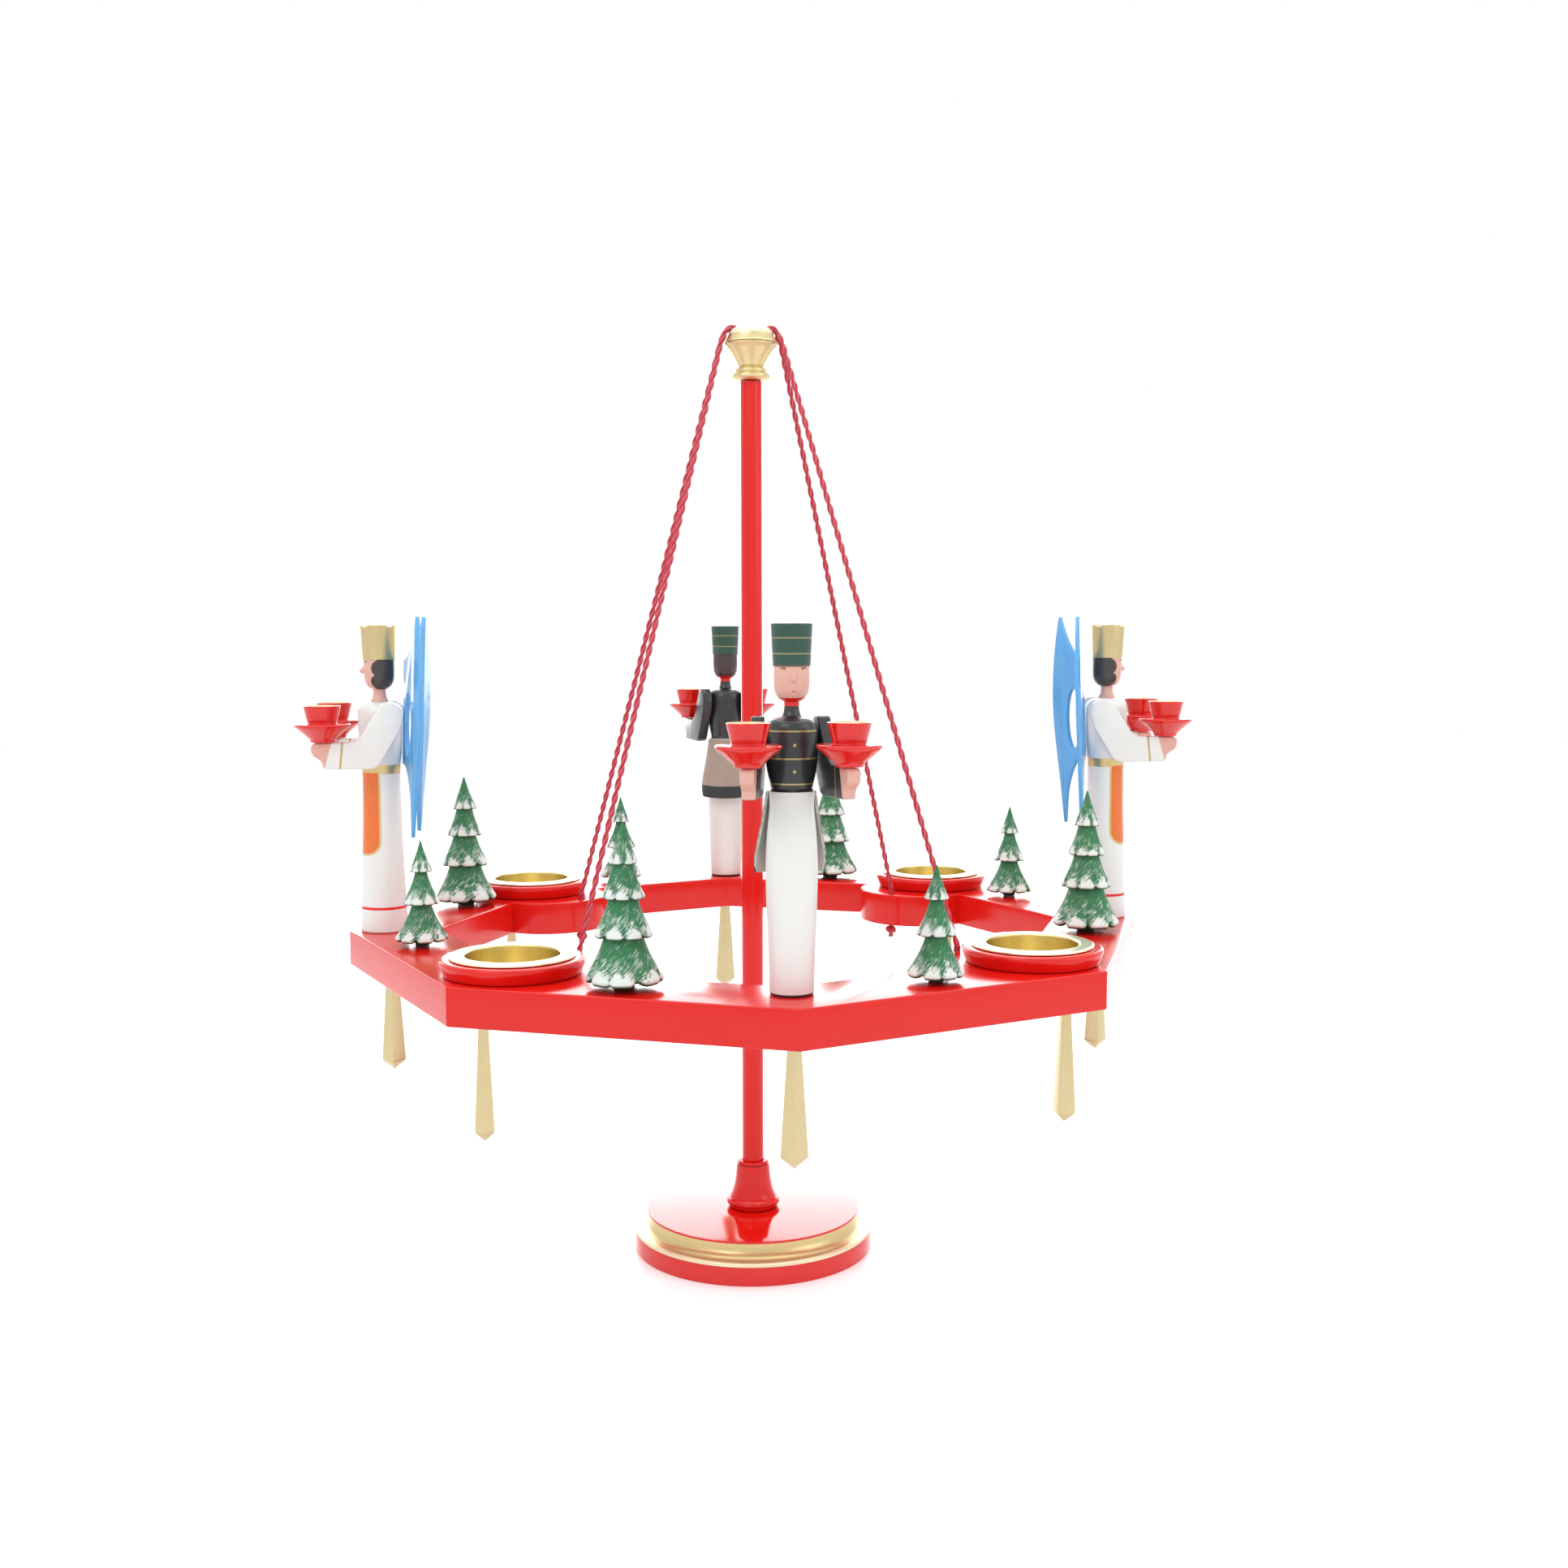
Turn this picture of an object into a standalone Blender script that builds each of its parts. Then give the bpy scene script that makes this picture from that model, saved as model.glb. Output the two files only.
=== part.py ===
"""Advent wreath candle holder: an eight-sided red wreath hung on cords from a turned stand.

Metres, +Z up. The origin is the centre of the underside of the base, on the post's axis.
The wreath turns about the post. Angels stand on its +X and -X corners, miners on -Y and +Y,
and the four candle bowls on the corners between them.
"""
import math

import bmesh
import bpy
from mathutils import Matrix, Vector

# Clearances
SEAT_GAP = 0.0003
SLIDE_GAP = 0.0005
CUT_OVERRUN = 0.004

# Stand
BASE_RADIUS = 0.0673
BASE_BAND_HEIGHT = 0.0111
BASE_TOP_RADIUS = 0.0604
BASE_HEIGHT = 0.0220
BASE_COVE_DEPTH = 0.0020
BASE_EDGE = 0.0010
BASE_LIP = 0.0012
POST_RADIUS = 0.0060
POST_SOCKET_DEPTH = 0.0140
POST_SHOULDER_HEIGHT = 0.4860
POST_EDGE = 0.0008
COLLAR_HEIGHT = 0.0264
COLLAR_TOP_RADIUS = 0.0089
COLLAR_FOOT_RADIUS = 0.0147
TENON_RADIUS = 0.0025

# Finial
FINIAL_FLANGE_RADIUS = 0.0104
FINIAL_NECK_RADIUS = 0.0068
FINIAL_CUP_RADIUS = 0.0122
FINIAL_CUP_HEIGHT = 0.0218
CAP_RADIUS = 0.0120
CAP_HEIGHT = 0.0083
CAP_RUNNING_GAP = 0.0005
CAP_BORE_SHARE = 0.28
CAP_GROOVE_FLOOR_SHARE = 0.45

# Wreath board
WREATH_RADIUS = 0.2225
WREATH_INNER_RADIUS = 0.1742
WREATH_THICKNESS = 0.0190
WREATH_TOP_HEIGHT = 0.1857
WREATH_EDGE = 0.0007
CORNERS = 8
CORNER_STEP = 2 * math.pi / CORNERS
TAB_MARGIN = 0.0025

# Candle stations
CANDLE_RADIUS = 0.1810
PLINTH_TOP_RADIUS = 0.0350
PLINTH_FOOT_RADIUS = 0.0330
PLINTH_HEIGHT = 0.0077
BOWL_FLANGE_RADIUS = 0.0304
BOWL_OPENING_RADIUS = 0.0228
BOWL_WALL = 0.0014
BOWL_FLANGE_THICKNESS = 0.0013
BOWL_SINK = 0.0076

# Cords
CORD_DIAMETER = 0.0032
CORD_STANDOFF = 0.0095
CORD_EDGE = 0.0075
CORD_HOLE_GAP = 0.0006
CORD_KNOT_RADIUS = 0.0036
CORD_TAIL = 0.0050
CORD_LANE_GAP = 0.0004

# Pendants under the board
PENDANT_RADIUS = 0.2000
PENDANT_LENGTH = 0.0590
PENDANT_WIDTH = 0.0092
PENDANT_TOP_WIDTH = 0.0044
PENDANT_POINT = 0.0055

# Trees
TREE_STANDOFF = 0.0020
LARGE_TREE_HEIGHT = 0.0766
LARGE_TREE_RADIUS = 0.0180
SMALL_TREE_HEIGHT = 0.0550
SMALL_TREE_RADIUS = 0.0125
SMALL_TREE_ANGLES_DEG = (25.2, 112.5, 195.7, 292.3)
LARGE_TREE_ANGLES_DEG = (68.3, 153.3, 246.0, 345.5)

# Figures
ANGEL_RADIUS = 0.2035
MINER_RADIUS = 0.1900
FOOT_RADIUS = 0.0129
LEG_RADIUS = 0.0101
WAIST_HEIGHT = 0.0865
SHOULDER_HEIGHT = 0.1255
CHEST_RADIUS = 0.0118
NECK_RADIUS = 0.0035
NECK_HEIGHT = 0.0065
HEAD_RADIUS = 0.0083
HEAD_HEIGHT = 0.0160
HAT_HEIGHT = 0.0186
HAT_FOOT_RADIUS = 0.0087
HAT_TOP_RADIUS = 0.0097
NOSE_LENGTH = 0.0022
NOSE_RADIUS = 0.0012
CROWN_NOTCH_DEPTH = 0.0012
CROWN_NOTCH_RADIUS = 0.0060
HAT_WELL_DEPTH = 0.0030
HAT_WALL = 0.0012
ARM_THICKNESS = 0.0062
ARM_EDGE = 0.0007
ARM_SPLAY_DEG = 13.0
ARM_REACH = 0.0383
FOREARM_TOP_HEIGHT = 0.1046
FOREARM_FOOT_HEIGHT = 0.0900
CUP_REACH = 0.0318
CUP_HEIGHT = 0.0194
CUP_RADIUS = 0.0098
CUP_FOOT_RADIUS = 0.0052
SAUCER_RADIUS = 0.0151
CUP_WALL = 0.0012
CUP_FLOOR_SHARE = 0.58
WING_SPAN = 0.0270
WING_TOP_HEIGHT = 0.1718
WING_FOOT_HEIGHT = 0.0531
WING_THICKNESS = 0.0022
WING_SWEEP_DEG = 23.0
WING_LEAN_DEG = 2.0
LEATHER_THICKNESS = 0.0012
LEATHER_TOP_HEIGHT = 0.0918
LEATHER_LENGTH = 0.0385
LEATHER_FLARE_RADIUS = 0.0190
LEATHER_HALF_TURN_DEG = 78.0

# Sides of the round pieces
BASE_STEPS = 36
POST_STEPS = 20
FINIAL_STEPS = 16
PLINTH_STEPS = 24
BOWL_STEPS = 20
FIGURE_STEPS = 14
CUP_STEPS = 12
HOLE_STEPS = 12

# Outlines as shares, from top to bottom
COLLAR_SHARES = ((0.86, 1.00), (1.00, 0.95), (1.06, 0.74), (1.18, 0.50), (1.42, 0.25), (1.60, 0.17))
COLLAR_BEAD_SHARES = ((1.00, 0.11), (0.99, 0.05), (0.90, 0.00))
FINIAL_FLARE_SHARES = ((1.00, 0.97), (0.99, 0.84), (0.95, 0.72), (0.84, 0.58), (0.68, 0.43),
                       (0.58, 0.35))
FINIAL_FOOT_SHARES = ((0.72, 0.31), (0.85, 0.27), (0.80, 0.22), (1.00, 0.15), (1.00, 0.07),
                      (0.80, 0.00))
CAP_DOME_SHARES = ((0.00, 1.00), (0.33, 0.98), (0.58, 0.90), (0.72, 0.77), (0.78, 0.66),
                   (0.98, 0.10), (0.92, 0.00))
CORD_BEND_SHARES = ((0.50, 1.00, 0.00), (0.86, 1.00, -0.05), (0.98, 1.05, 0.09), (1.085, 1.10, 0.67),
                    (1.215, 1.30, 1.95))
ANGEL_SKIRT_SHARES = ((1.00, 1.000), (0.99, 0.940), (1.03, 0.700), (1.10, 0.500), (1.16, 0.250))
ANGEL_TORSO_SHARES = ((0.40, 1.000), (0.80, 0.965), (1.00, 0.860), (1.00, 0.700), (0.95, 0.300),
                      (0.89, 0.130))
MINER_SKIRT_SHARES = ((1.00, 1.050), (1.00, 0.970), (1.12, 0.820), (1.17, 0.640), (1.10, 0.300))
MINER_TORSO_SHARES = ((0.40, 1.000), (0.80, 0.965), (1.00, 0.840), (1.00, 0.600), (0.96, 0.420),
                      (0.80, 0.180))
HEAD_SHARES = ((0.97, 0.99), (1.00, 0.80), (1.00, 0.50), (0.93, 0.26), (0.72, 0.08), (0.45, 0.00))
ARM_SHARES = ((0.02, 1.000), (0.34, 0.475), (0.43, 0.415), (0.955, 0.415), (1.00, 0.360),
              (0.98, 0.230), (0.85, 0.130), (0.83, 0.018), (0.17, 0.000), (0.085, 0.040),
              (-0.22, 0.580), (-0.265, 0.760), (-0.23, 0.915), (-0.12, 1.000))
CUP_SHARES = ((0.840, 0.970), (0.880, 1.000), (1.000, 1.000), (0.830, 0.510))
SAUCER_SHARES = ((0.970, 0.500), (1.000, 0.440), (0.940, 0.390))
WING_OUTER_SHARES = ((0.70, 1.000), (0.76, 0.985), (0.89, 0.860), (0.97, 0.730), (1.00, 0.600),
                     (0.97, 0.470), (0.90, 0.350), (0.81, 0.210), (0.70, 0.015), (0.64, 0.000))
WING_INNER_SHARES = ((0.57, 0.140), (0.43, 0.235), (0.22, 0.305), (-0.20, 0.320), (-0.20, 0.800),
                     (0.12, 0.815), (0.39, 0.860))
WING_WINDOW_SHARES = ((0.31, 0.655), (0.42, 0.630), (0.50, 0.575), (0.53, 0.510), (0.50, 0.445),
                      (0.42, 0.385), (0.31, 0.360), (0.18, 0.375), (0.12, 0.430), (0.11, 0.510),
                      (0.12, 0.590), (0.18, 0.640))
LARGE_TREE_TIER_SHARES = ((0.36, 0.770), (0.55, 0.560), (0.75, 0.350), (1.00, 0.085))
SMALL_TREE_TIER_SHARES = ((0.44, 0.690), (0.68, 0.400), (1.00, 0.110))

# Paints: colour, metallic, roughness
FINISHES = {
    "red_lacquer": ((0.72, 0.030, 0.025, 1.0), 0.0, 0.22),
    "gold_paint": ((0.72, 0.56, 0.28, 1.0), 0.8, 0.35),
    "gold_metal": ((0.80, 0.62, 0.20, 1.0), 1.0, 0.25),
    "white_paint": ((0.84, 0.86, 0.84, 1.0), 0.0, 0.40),
    "black_paint": ((0.030, 0.035, 0.035, 1.0), 0.0, 0.35),
    "skin_paint": ((0.74, 0.45, 0.36, 1.0), 0.0, 0.40),
    "blue_paint": ((0.10, 0.42, 0.80, 1.0), 0.0, 0.30),
    "tree_green": ((0.035, 0.20, 0.085, 1.0), 0.0, 0.55),
    "leather": ((0.060, 0.055, 0.050, 1.0), 0.0, 0.60),
    "red_cord": ((0.50, 0.030, 0.070, 1.0), 0.0, 0.70),
}

PARTS_NAME = "advent_wreath"
CUTTERS_NAME = "cutters"


def clear_scene():
    """Remove every object, so the script can be run again."""
    for old in list(bpy.data.objects):
        bpy.data.objects.remove(old, do_unlink=True)
    for old in list(bpy.data.collections):
        bpy.data.collections.remove(old)


def new_collection(name):
    collection = bpy.data.collections.new(name)
    bpy.context.scene.collection.children.link(collection)
    return collection


def make_finishes():
    materials = {}
    for name, (colour, metallic, roughness) in FINISHES.items():
        material = bpy.data.materials.new(name)
        material.use_nodes = True
        shader = material.node_tree.nodes["Principled BSDF"]
        shader.inputs["Base Color"].default_value = colour
        shader.inputs["Metallic"].default_value = metallic
        shader.inputs["Roughness"].default_value = roughness
        material.diffuse_color = colour
        materials[name] = material
    return materials


clear_scene()
PARTS = new_collection(PARTS_NAME)
CUTTERS = new_collection(CUTTERS_NAME)
MATERIALS = make_finishes()


def add_object(name, data, finish, collection=None):
    """Link data as a named object with one material."""
    thing = bpy.data.objects.new(name, data)
    (collection or PARTS).objects.link(thing)
    if finish is not None:
        data.materials.append(MATERIALS[finish])
    return thing


def place(thing, parent=None, location=(0, 0, 0), rotation=(0, 0, 0)):
    thing.location = location
    thing.rotation_euler = rotation
    thing.parent = parent
    return thing


def marker(name, location=(0, 0, 0), turn=0.0, parent=None):
    """An empty that carries the pieces of one station."""
    empty = bpy.data.objects.new(name, None)
    PARTS.objects.link(empty)
    return place(empty, parent, location, (0, 0, turn))


def station(name, parent, radius, angle, height):
    """An empty on the wreath, its +X pointing outwards."""
    spot = (radius * math.cos(angle), radius * math.sin(angle), height)
    return marker(name, spot, angle, parent)


def baked(thing, sharp_deg=35):
    """Replace an object's data by its evaluated mesh, welded and shaded smooth between sharp edges."""
    bpy.context.view_layer.update()
    depsgraph = bpy.context.evaluated_depsgraph_get()
    mesh = bpy.data.meshes.new_from_object(thing.evaluated_get(depsgraph))
    mesh.name = thing.name
    work = bmesh.new()
    work.from_mesh(mesh)
    bmesh.ops.remove_doubles(work, verts=work.verts, dist=0.01 * SEAT_GAP)
    work.to_mesh(mesh)
    work.free()
    mesh.shade_smooth()
    mesh.set_sharp_from_angle(angle=math.radians(sharp_deg))
    if thing.type == "MESH":
        thing.modifiers.clear()
        thing.data = mesh
        return thing
    solid = bpy.data.objects.new(thing.name + "_mesh", mesh)
    for collection in thing.users_collection:
        collection.objects.link(solid)
    name = thing.name
    solid.matrix_world = thing.matrix_world.copy()
    bpy.data.objects.remove(thing, do_unlink=True)
    solid.name = name
    return solid


def turned(name, profile, steps, finish, bored=False, collection=None):
    """Revolve (radius, height) points, listed down the outer side, about the piece's Z axis."""
    mesh = bpy.data.meshes.new(name)
    count = len(profile)
    edges = [(i, i + 1) for i in range(count - 1)]
    if bored:
        edges.append((count - 1, 0))
    mesh.from_pydata([(radius, 0, height) for radius, height in profile], edges, [])
    thing = add_object(name, mesh, finish, collection)
    screw = thing.modifiers.new("Turning", "SCREW")
    screw.axis = "Z"
    screw.steps = steps
    screw.render_steps = steps
    screw.use_merge_vertices = True
    screw.merge_threshold = 0.01 * SEAT_GAP
    return baked(thing)


def flat_board(name, outlines, thickness, edge, finish, collection=None):
    """A board of even thickness, its outlines in its local XY plane and its edges eased."""
    curve = bpy.data.curves.new(name, "CURVE")
    curve.dimensions = "2D"
    curve.fill_mode = "BOTH"
    curve.extrude = thickness / 2 - edge
    curve.bevel_depth = edge
    curve.bevel_resolution = 0
    curve.offset = -edge
    for outline in outlines:
        spline = curve.splines.new("POLY")
        spline.points.add(len(outline) - 1)
        for point, (x, y) in zip(spline.points, outline):
            point.co = (x, y, 0, 1)
        spline.use_cyclic_u = True
    return baked(add_object(name, curve, finish, collection))


def cutter(thing):
    thing.hide_render = True
    thing.display_type = "WIRE"
    return thing


def combine(thing, other, operation):
    """Cut or join with an exact Boolean, then keep the result as the object's own mesh."""
    change = thing.modifiers.new(operation.title(), "BOOLEAN")
    change.operation = operation
    change.solver = "EXACT"
    change.object = other
    return baked(thing)


def cylinder_cutter(name, radius, length, sides, matrix):
    mesh = bpy.data.meshes.new(name)
    work = bmesh.new()
    bmesh.ops.create_cone(work, cap_ends=True, segments=sides, radius1=radius, radius2=radius,
                          depth=length, matrix=matrix)
    work.to_mesh(mesh)
    work.free()
    return cutter(add_object(name, mesh, None, CUTTERS))


def box_cutter(name, size, centre):
    mesh = bpy.data.meshes.new(name)
    work = bmesh.new()
    bmesh.ops.create_cube(work, size=1, matrix=Matrix.Translation(centre) @ Matrix.Diagonal((*size, 1)))
    work.to_mesh(mesh)
    work.free()
    return cutter(add_object(name, mesh, None, CUTTERS))


def copy_of(thing, name):
    """A repeated piece: its own object, sharing the first one's mesh."""
    twin = bpy.data.objects.new(name, thing.data)
    PARTS.objects.link(twin)
    return twin


def arc(centre_x, centre_y, radius, start, end, steps):
    """Points on a circular arc, both ends included."""
    points = []
    for i in range(steps + 1):
        angle = start + (end - start) * i / steps
        points.append((centre_x + radius * math.cos(angle), centre_y + radius * math.sin(angle)))
    return points


def polar(radius, angle):
    return radius * math.cos(angle), radius * math.sin(angle)


def scaled(shares, radius, height, foot=0.0):
    """Turn (radius, height) shares into a profile that stands on foot."""
    return [(radius * r, foot + height * h) for r, h in shares]


# Places that several pieces share
CAP_FOOT_HEIGHT = POST_SHOULDER_HEIGHT + SEAT_GAP + FINIAL_CUP_HEIGHT + CAP_RUNNING_GAP
CAP_BORE_DEPTH = CAP_BORE_SHARE * CAP_HEIGHT
TENON_TOP_HEIGHT = CAP_FOOT_HEIGHT + CAP_BORE_DEPTH - SEAT_GAP
GROOVE_FLOOR_HEIGHT = CAP_FOOT_HEIGHT + CAP_GROOVE_FLOOR_SHARE * CAP_HEIGHT
CORD_RADIUS = CORD_DIAMETER / 2
CORD_LANE = CORD_RADIUS + CORD_LANE_GAP / 2
CORD_HOLE_RADIUS = CORD_RADIUS + CORD_HOLE_GAP
CORD_HOLE_PLACE = CANDLE_RADIUS - PLINTH_TOP_RADIUS - CORD_STANDOFF
TAB_RADIUS = PLINTH_FOOT_RADIUS + TAB_MARGIN
TAB_PLACE = CORD_HOLE_PLACE - CORD_EDGE + TAB_RADIUS
BOWL_RADIUS = BOWL_OPENING_RADIUS + BOWL_WALL
BOWL_BORE_RADIUS = BOWL_RADIUS + SLIDE_GAP
PLINTH_TOP = SEAT_GAP + PLINTH_HEIGHT
WREATH_UNDERSIDE = WREATH_TOP_HEIGHT - WREATH_THICKNESS
WREATH_APOTHEM = WREATH_RADIUS * math.cos(CORNER_STEP / 2)
INNER_APOTHEM = WREATH_INNER_RADIUS * math.cos(CORNER_STEP / 2)
TREE_PLACE = (WREATH_APOTHEM + INNER_APOTHEM) / 2 + TREE_STANDOFF
TORSO_HEIGHT = SHOULDER_HEIGHT - WAIST_HEIGHT
ARM_PLACE = CHEST_RADIUS + SEAT_GAP + ARM_THICKNESS / 2
HEAD_FOOT_HEIGHT = SHOULDER_HEIGHT + NECK_HEIGHT + SEAT_GAP


def make_base():
    """One turned disc: plain band, cove, thin top plate, and the post's blind socket."""
    cove_height = BASE_HEIGHT - BASE_LIP - BASE_BAND_HEIGHT
    cove = arc(BASE_RADIUS - BASE_EDGE, BASE_HEIGHT - BASE_LIP, cove_height,
               math.radians(180), math.radians(270), 5)
    reach = BASE_RADIUS - BASE_EDGE - BASE_TOP_RADIUS + BASE_COVE_DEPTH
    cove = [(BASE_RADIUS - BASE_EDGE + (x - BASE_RADIUS + BASE_EDGE) * reach / cove_height, z)
            for x, z in cove]
    socket = POST_RADIUS + SLIDE_GAP
    profile = [(0, BASE_HEIGHT - POST_SOCKET_DEPTH), (socket, BASE_HEIGHT - POST_SOCKET_DEPTH),
               (socket, BASE_HEIGHT), (BASE_TOP_RADIUS - BASE_EDGE / 2, BASE_HEIGHT),
               (BASE_TOP_RADIUS, BASE_HEIGHT - BASE_EDGE / 2),
               (BASE_TOP_RADIUS, BASE_HEIGHT - BASE_LIP)]
    profile += cove
    profile += [(BASE_RADIUS, BASE_BAND_HEIGHT - BASE_EDGE), (BASE_RADIUS, BASE_EDGE),
                (BASE_RADIUS - BASE_EDGE, 0), (0, 0)]
    return turned("base_disc", profile, BASE_STEPS, "red_lacquer")


def make_collar():
    """The bored foot collar that the post passes through."""
    bore = POST_RADIUS + SEAT_GAP
    profile = [(bore, COLLAR_HEIGHT)]
    profile += scaled(COLLAR_SHARES, COLLAR_TOP_RADIUS, COLLAR_HEIGHT)
    profile += scaled(COLLAR_BEAD_SHARES, COLLAR_FOOT_RADIUS, COLLAR_HEIGHT)
    profile.append((bore, 0))
    collar = turned("foot_collar", profile, FINIAL_STEPS, "red_lacquer", bored=True)
    return place(collar, location=(0, 0, BASE_HEIGHT + SEAT_GAP))


def make_post():
    """A round rod with a thin tenon that carries the finial cup and the turning cap."""
    foot = BASE_HEIGHT - POST_SOCKET_DEPTH + SEAT_GAP
    profile = [(0, TENON_TOP_HEIGHT), (TENON_RADIUS - POST_EDGE, TENON_TOP_HEIGHT),
               (TENON_RADIUS, TENON_TOP_HEIGHT - POST_EDGE), (TENON_RADIUS, POST_SHOULDER_HEIGHT),
               (POST_RADIUS - POST_EDGE, POST_SHOULDER_HEIGHT),
               (POST_RADIUS, POST_SHOULDER_HEIGHT - POST_EDGE),
               (POST_RADIUS, foot + POST_EDGE), (POST_RADIUS - POST_EDGE, foot), (0, foot)]
    return turned("post", profile, POST_STEPS, "red_lacquer")


def make_finial_cup():
    """The gilt cup on the post's shoulder, bored for the tenon."""
    bore = TENON_RADIUS + SEAT_GAP
    flare = scaled(FINIAL_FLARE_SHARES, FINIAL_CUP_RADIUS, FINIAL_CUP_HEIGHT)
    foot = scaled(FINIAL_FOOT_SHARES, FINIAL_FLANGE_RADIUS, FINIAL_CUP_HEIGHT)
    profile = [(bore, FINIAL_CUP_HEIGHT), (flare[0][0] - SEAT_GAP, FINIAL_CUP_HEIGHT)]
    profile += flare[:-1] + [(FINIAL_NECK_RADIUS, flare[-1][1])] + foot + [(bore, 0)]
    cup = turned("finial_cup", profile, FINIAL_STEPS, "gold_paint", bored=True)
    return place(cup, location=(0, 0, POST_SHOULDER_HEIGHT + SEAT_GAP))


def make_finial_cap(wreath):
    """The domed cap that turns on the tenon, with the groove that both cords lie in."""
    bore = TENON_RADIUS + SLIDE_GAP
    profile = scaled(CAP_DOME_SHARES, CAP_RADIUS, CAP_HEIGHT)
    profile += [(bore, 0), (bore, CAP_BORE_DEPTH), (0, CAP_BORE_DEPTH)]
    cap = turned("finial_cap", profile, FINIAL_STEPS, "gold_paint")
    floor = GROOVE_FLOOR_HEIGHT - CAP_FOOT_HEIGHT
    width = 2 * (CORD_LANE + CORD_RADIUS + SEAT_GAP)
    height = CAP_HEIGHT - floor + CUT_OVERRUN
    groove = box_cutter("cap_groove_cutter", (2 * CAP_RADIUS + CUT_OVERRUN, width, height),
                        (0, 0, floor + height / 2))
    combine(cap, groove, "DIFFERENCE")
    return place(cap, wreath, (0, 0, CAP_FOOT_HEIGHT))


def wreath_outline():
    """Inner edge of the board: straight sides, broken by a round tab at each candle corner."""
    lift = INNER_APOTHEM / math.cos(CORNER_STEP / 2) - TAB_PLACE
    slope = math.tan(CORNER_STEP / 2)
    root = math.sqrt((lift * slope) ** 2 - (1 + slope ** 2) * (lift ** 2 - TAB_RADIUS ** 2))
    side = (lift * slope + root) / (1 + slope ** 2)
    start = math.atan2(side, lift - slope * side)
    points = []
    for corner in range(CORNERS):
        angle = corner * CORNER_STEP
        if corner % 2 == 0:
            points.append(polar(WREATH_INNER_RADIUS, angle))
            continue
        local = arc(TAB_PLACE, 0, TAB_RADIUS, 2 * math.pi - start, start, HOLE_STEPS)
        for x, y in local:
            points.append((x * math.cos(angle) - y * math.sin(angle),
                           x * math.sin(angle) + y * math.cos(angle)))
    return points


def make_wreath_board(wreath):
    """The eight-sided board with its four tabs, cord holes and recesses for the bowls."""
    outer = [polar(WREATH_RADIUS, corner * CORNER_STEP) for corner in range(CORNERS)]
    outlines = [outer, wreath_outline()]
    for corner in range(1, CORNERS, 2):
        x, y = polar(CORD_HOLE_PLACE, corner * CORNER_STEP)
        outlines.append(arc(x, y, CORD_HOLE_RADIUS, 0, 2 * math.pi, HOLE_STEPS)[:-1])
    board = flat_board("wreath_board", outlines, WREATH_THICKNESS, WREATH_EDGE, "red_lacquer")
    depth = BOWL_SINK + SEAT_GAP
    for corner in range(1, CORNERS, 2):
        angle = corner * CORNER_STEP
        x, y = polar(CANDLE_RADIUS, angle)
        matrix = Matrix.Translation((x, y, WREATH_THICKNESS / 2 - depth / 2 + CUT_OVERRUN / 2))
        matrix = matrix @ Matrix.Rotation(angle, 4, "Z")
        recess = cylinder_cutter("bowl_recess_cutter", BOWL_BORE_RADIUS, depth + CUT_OVERRUN,
                                 BOWL_STEPS, matrix)
        board = combine(board, recess, "DIFFERENCE")
    return place(board, wreath, (0, 0, WREATH_TOP_HEIGHT - WREATH_THICKNESS / 2))


def make_candle_station(wreath, first_plinth, first_bowl, name, angle):
    """A red plinth with a bore, and the metal bowl whose flange rests on it."""
    spot = station(name + "_place", wreath, CANDLE_RADIUS, angle, WREATH_TOP_HEIGHT)
    if first_plinth is None:
        eased = PLINTH_TOP_RADIUS - PLINTH_FOOT_RADIUS
        profile = [(BOWL_BORE_RADIUS, PLINTH_TOP), (PLINTH_TOP_RADIUS - eased / 2, PLINTH_TOP),
                   (PLINTH_TOP_RADIUS, PLINTH_TOP - eased / 2),
                   (PLINTH_TOP_RADIUS, PLINTH_TOP - eased), (PLINTH_FOOT_RADIUS, SEAT_GAP),
                   (BOWL_BORE_RADIUS, SEAT_GAP)]
        first_plinth = turned(name + "_plinth", profile, PLINTH_STEPS, "red_lacquer", bored=True)
        plinth = first_plinth
    else:
        plinth = copy_of(first_plinth, name + "_plinth")
    place(plinth, spot)
    if first_bowl is None:
        rest = PLINTH_TOP + SEAT_GAP
        rim = rest + BOWL_FLANGE_THICKNESS
        floor = SEAT_GAP - BOWL_SINK + BOWL_WALL
        edge = BOWL_FLANGE_THICKNESS / 2
        profile = [(0, floor), (BOWL_OPENING_RADIUS - 2 * BOWL_WALL, floor),
                   (BOWL_OPENING_RADIUS, floor + 2 * BOWL_WALL),
                   (BOWL_OPENING_RADIUS, rim - edge), (BOWL_OPENING_RADIUS + edge, rim),
                   (BOWL_FLANGE_RADIUS - edge, rim), (BOWL_FLANGE_RADIUS, rim - edge),
                   (BOWL_FLANGE_RADIUS, rest), (BOWL_RADIUS, rest),
                   (BOWL_RADIUS, floor + BOWL_WALL),
                   (BOWL_RADIUS - 2 * BOWL_WALL, floor - BOWL_WALL), (0, floor - BOWL_WALL)]
        first_bowl = turned(name + "_bowl", profile, BOWL_STEPS, "gold_metal")
        bowl = first_bowl
    else:
        bowl = copy_of(first_bowl, name + "_bowl")
    place(bowl, spot)
    return first_plinth, first_bowl


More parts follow.
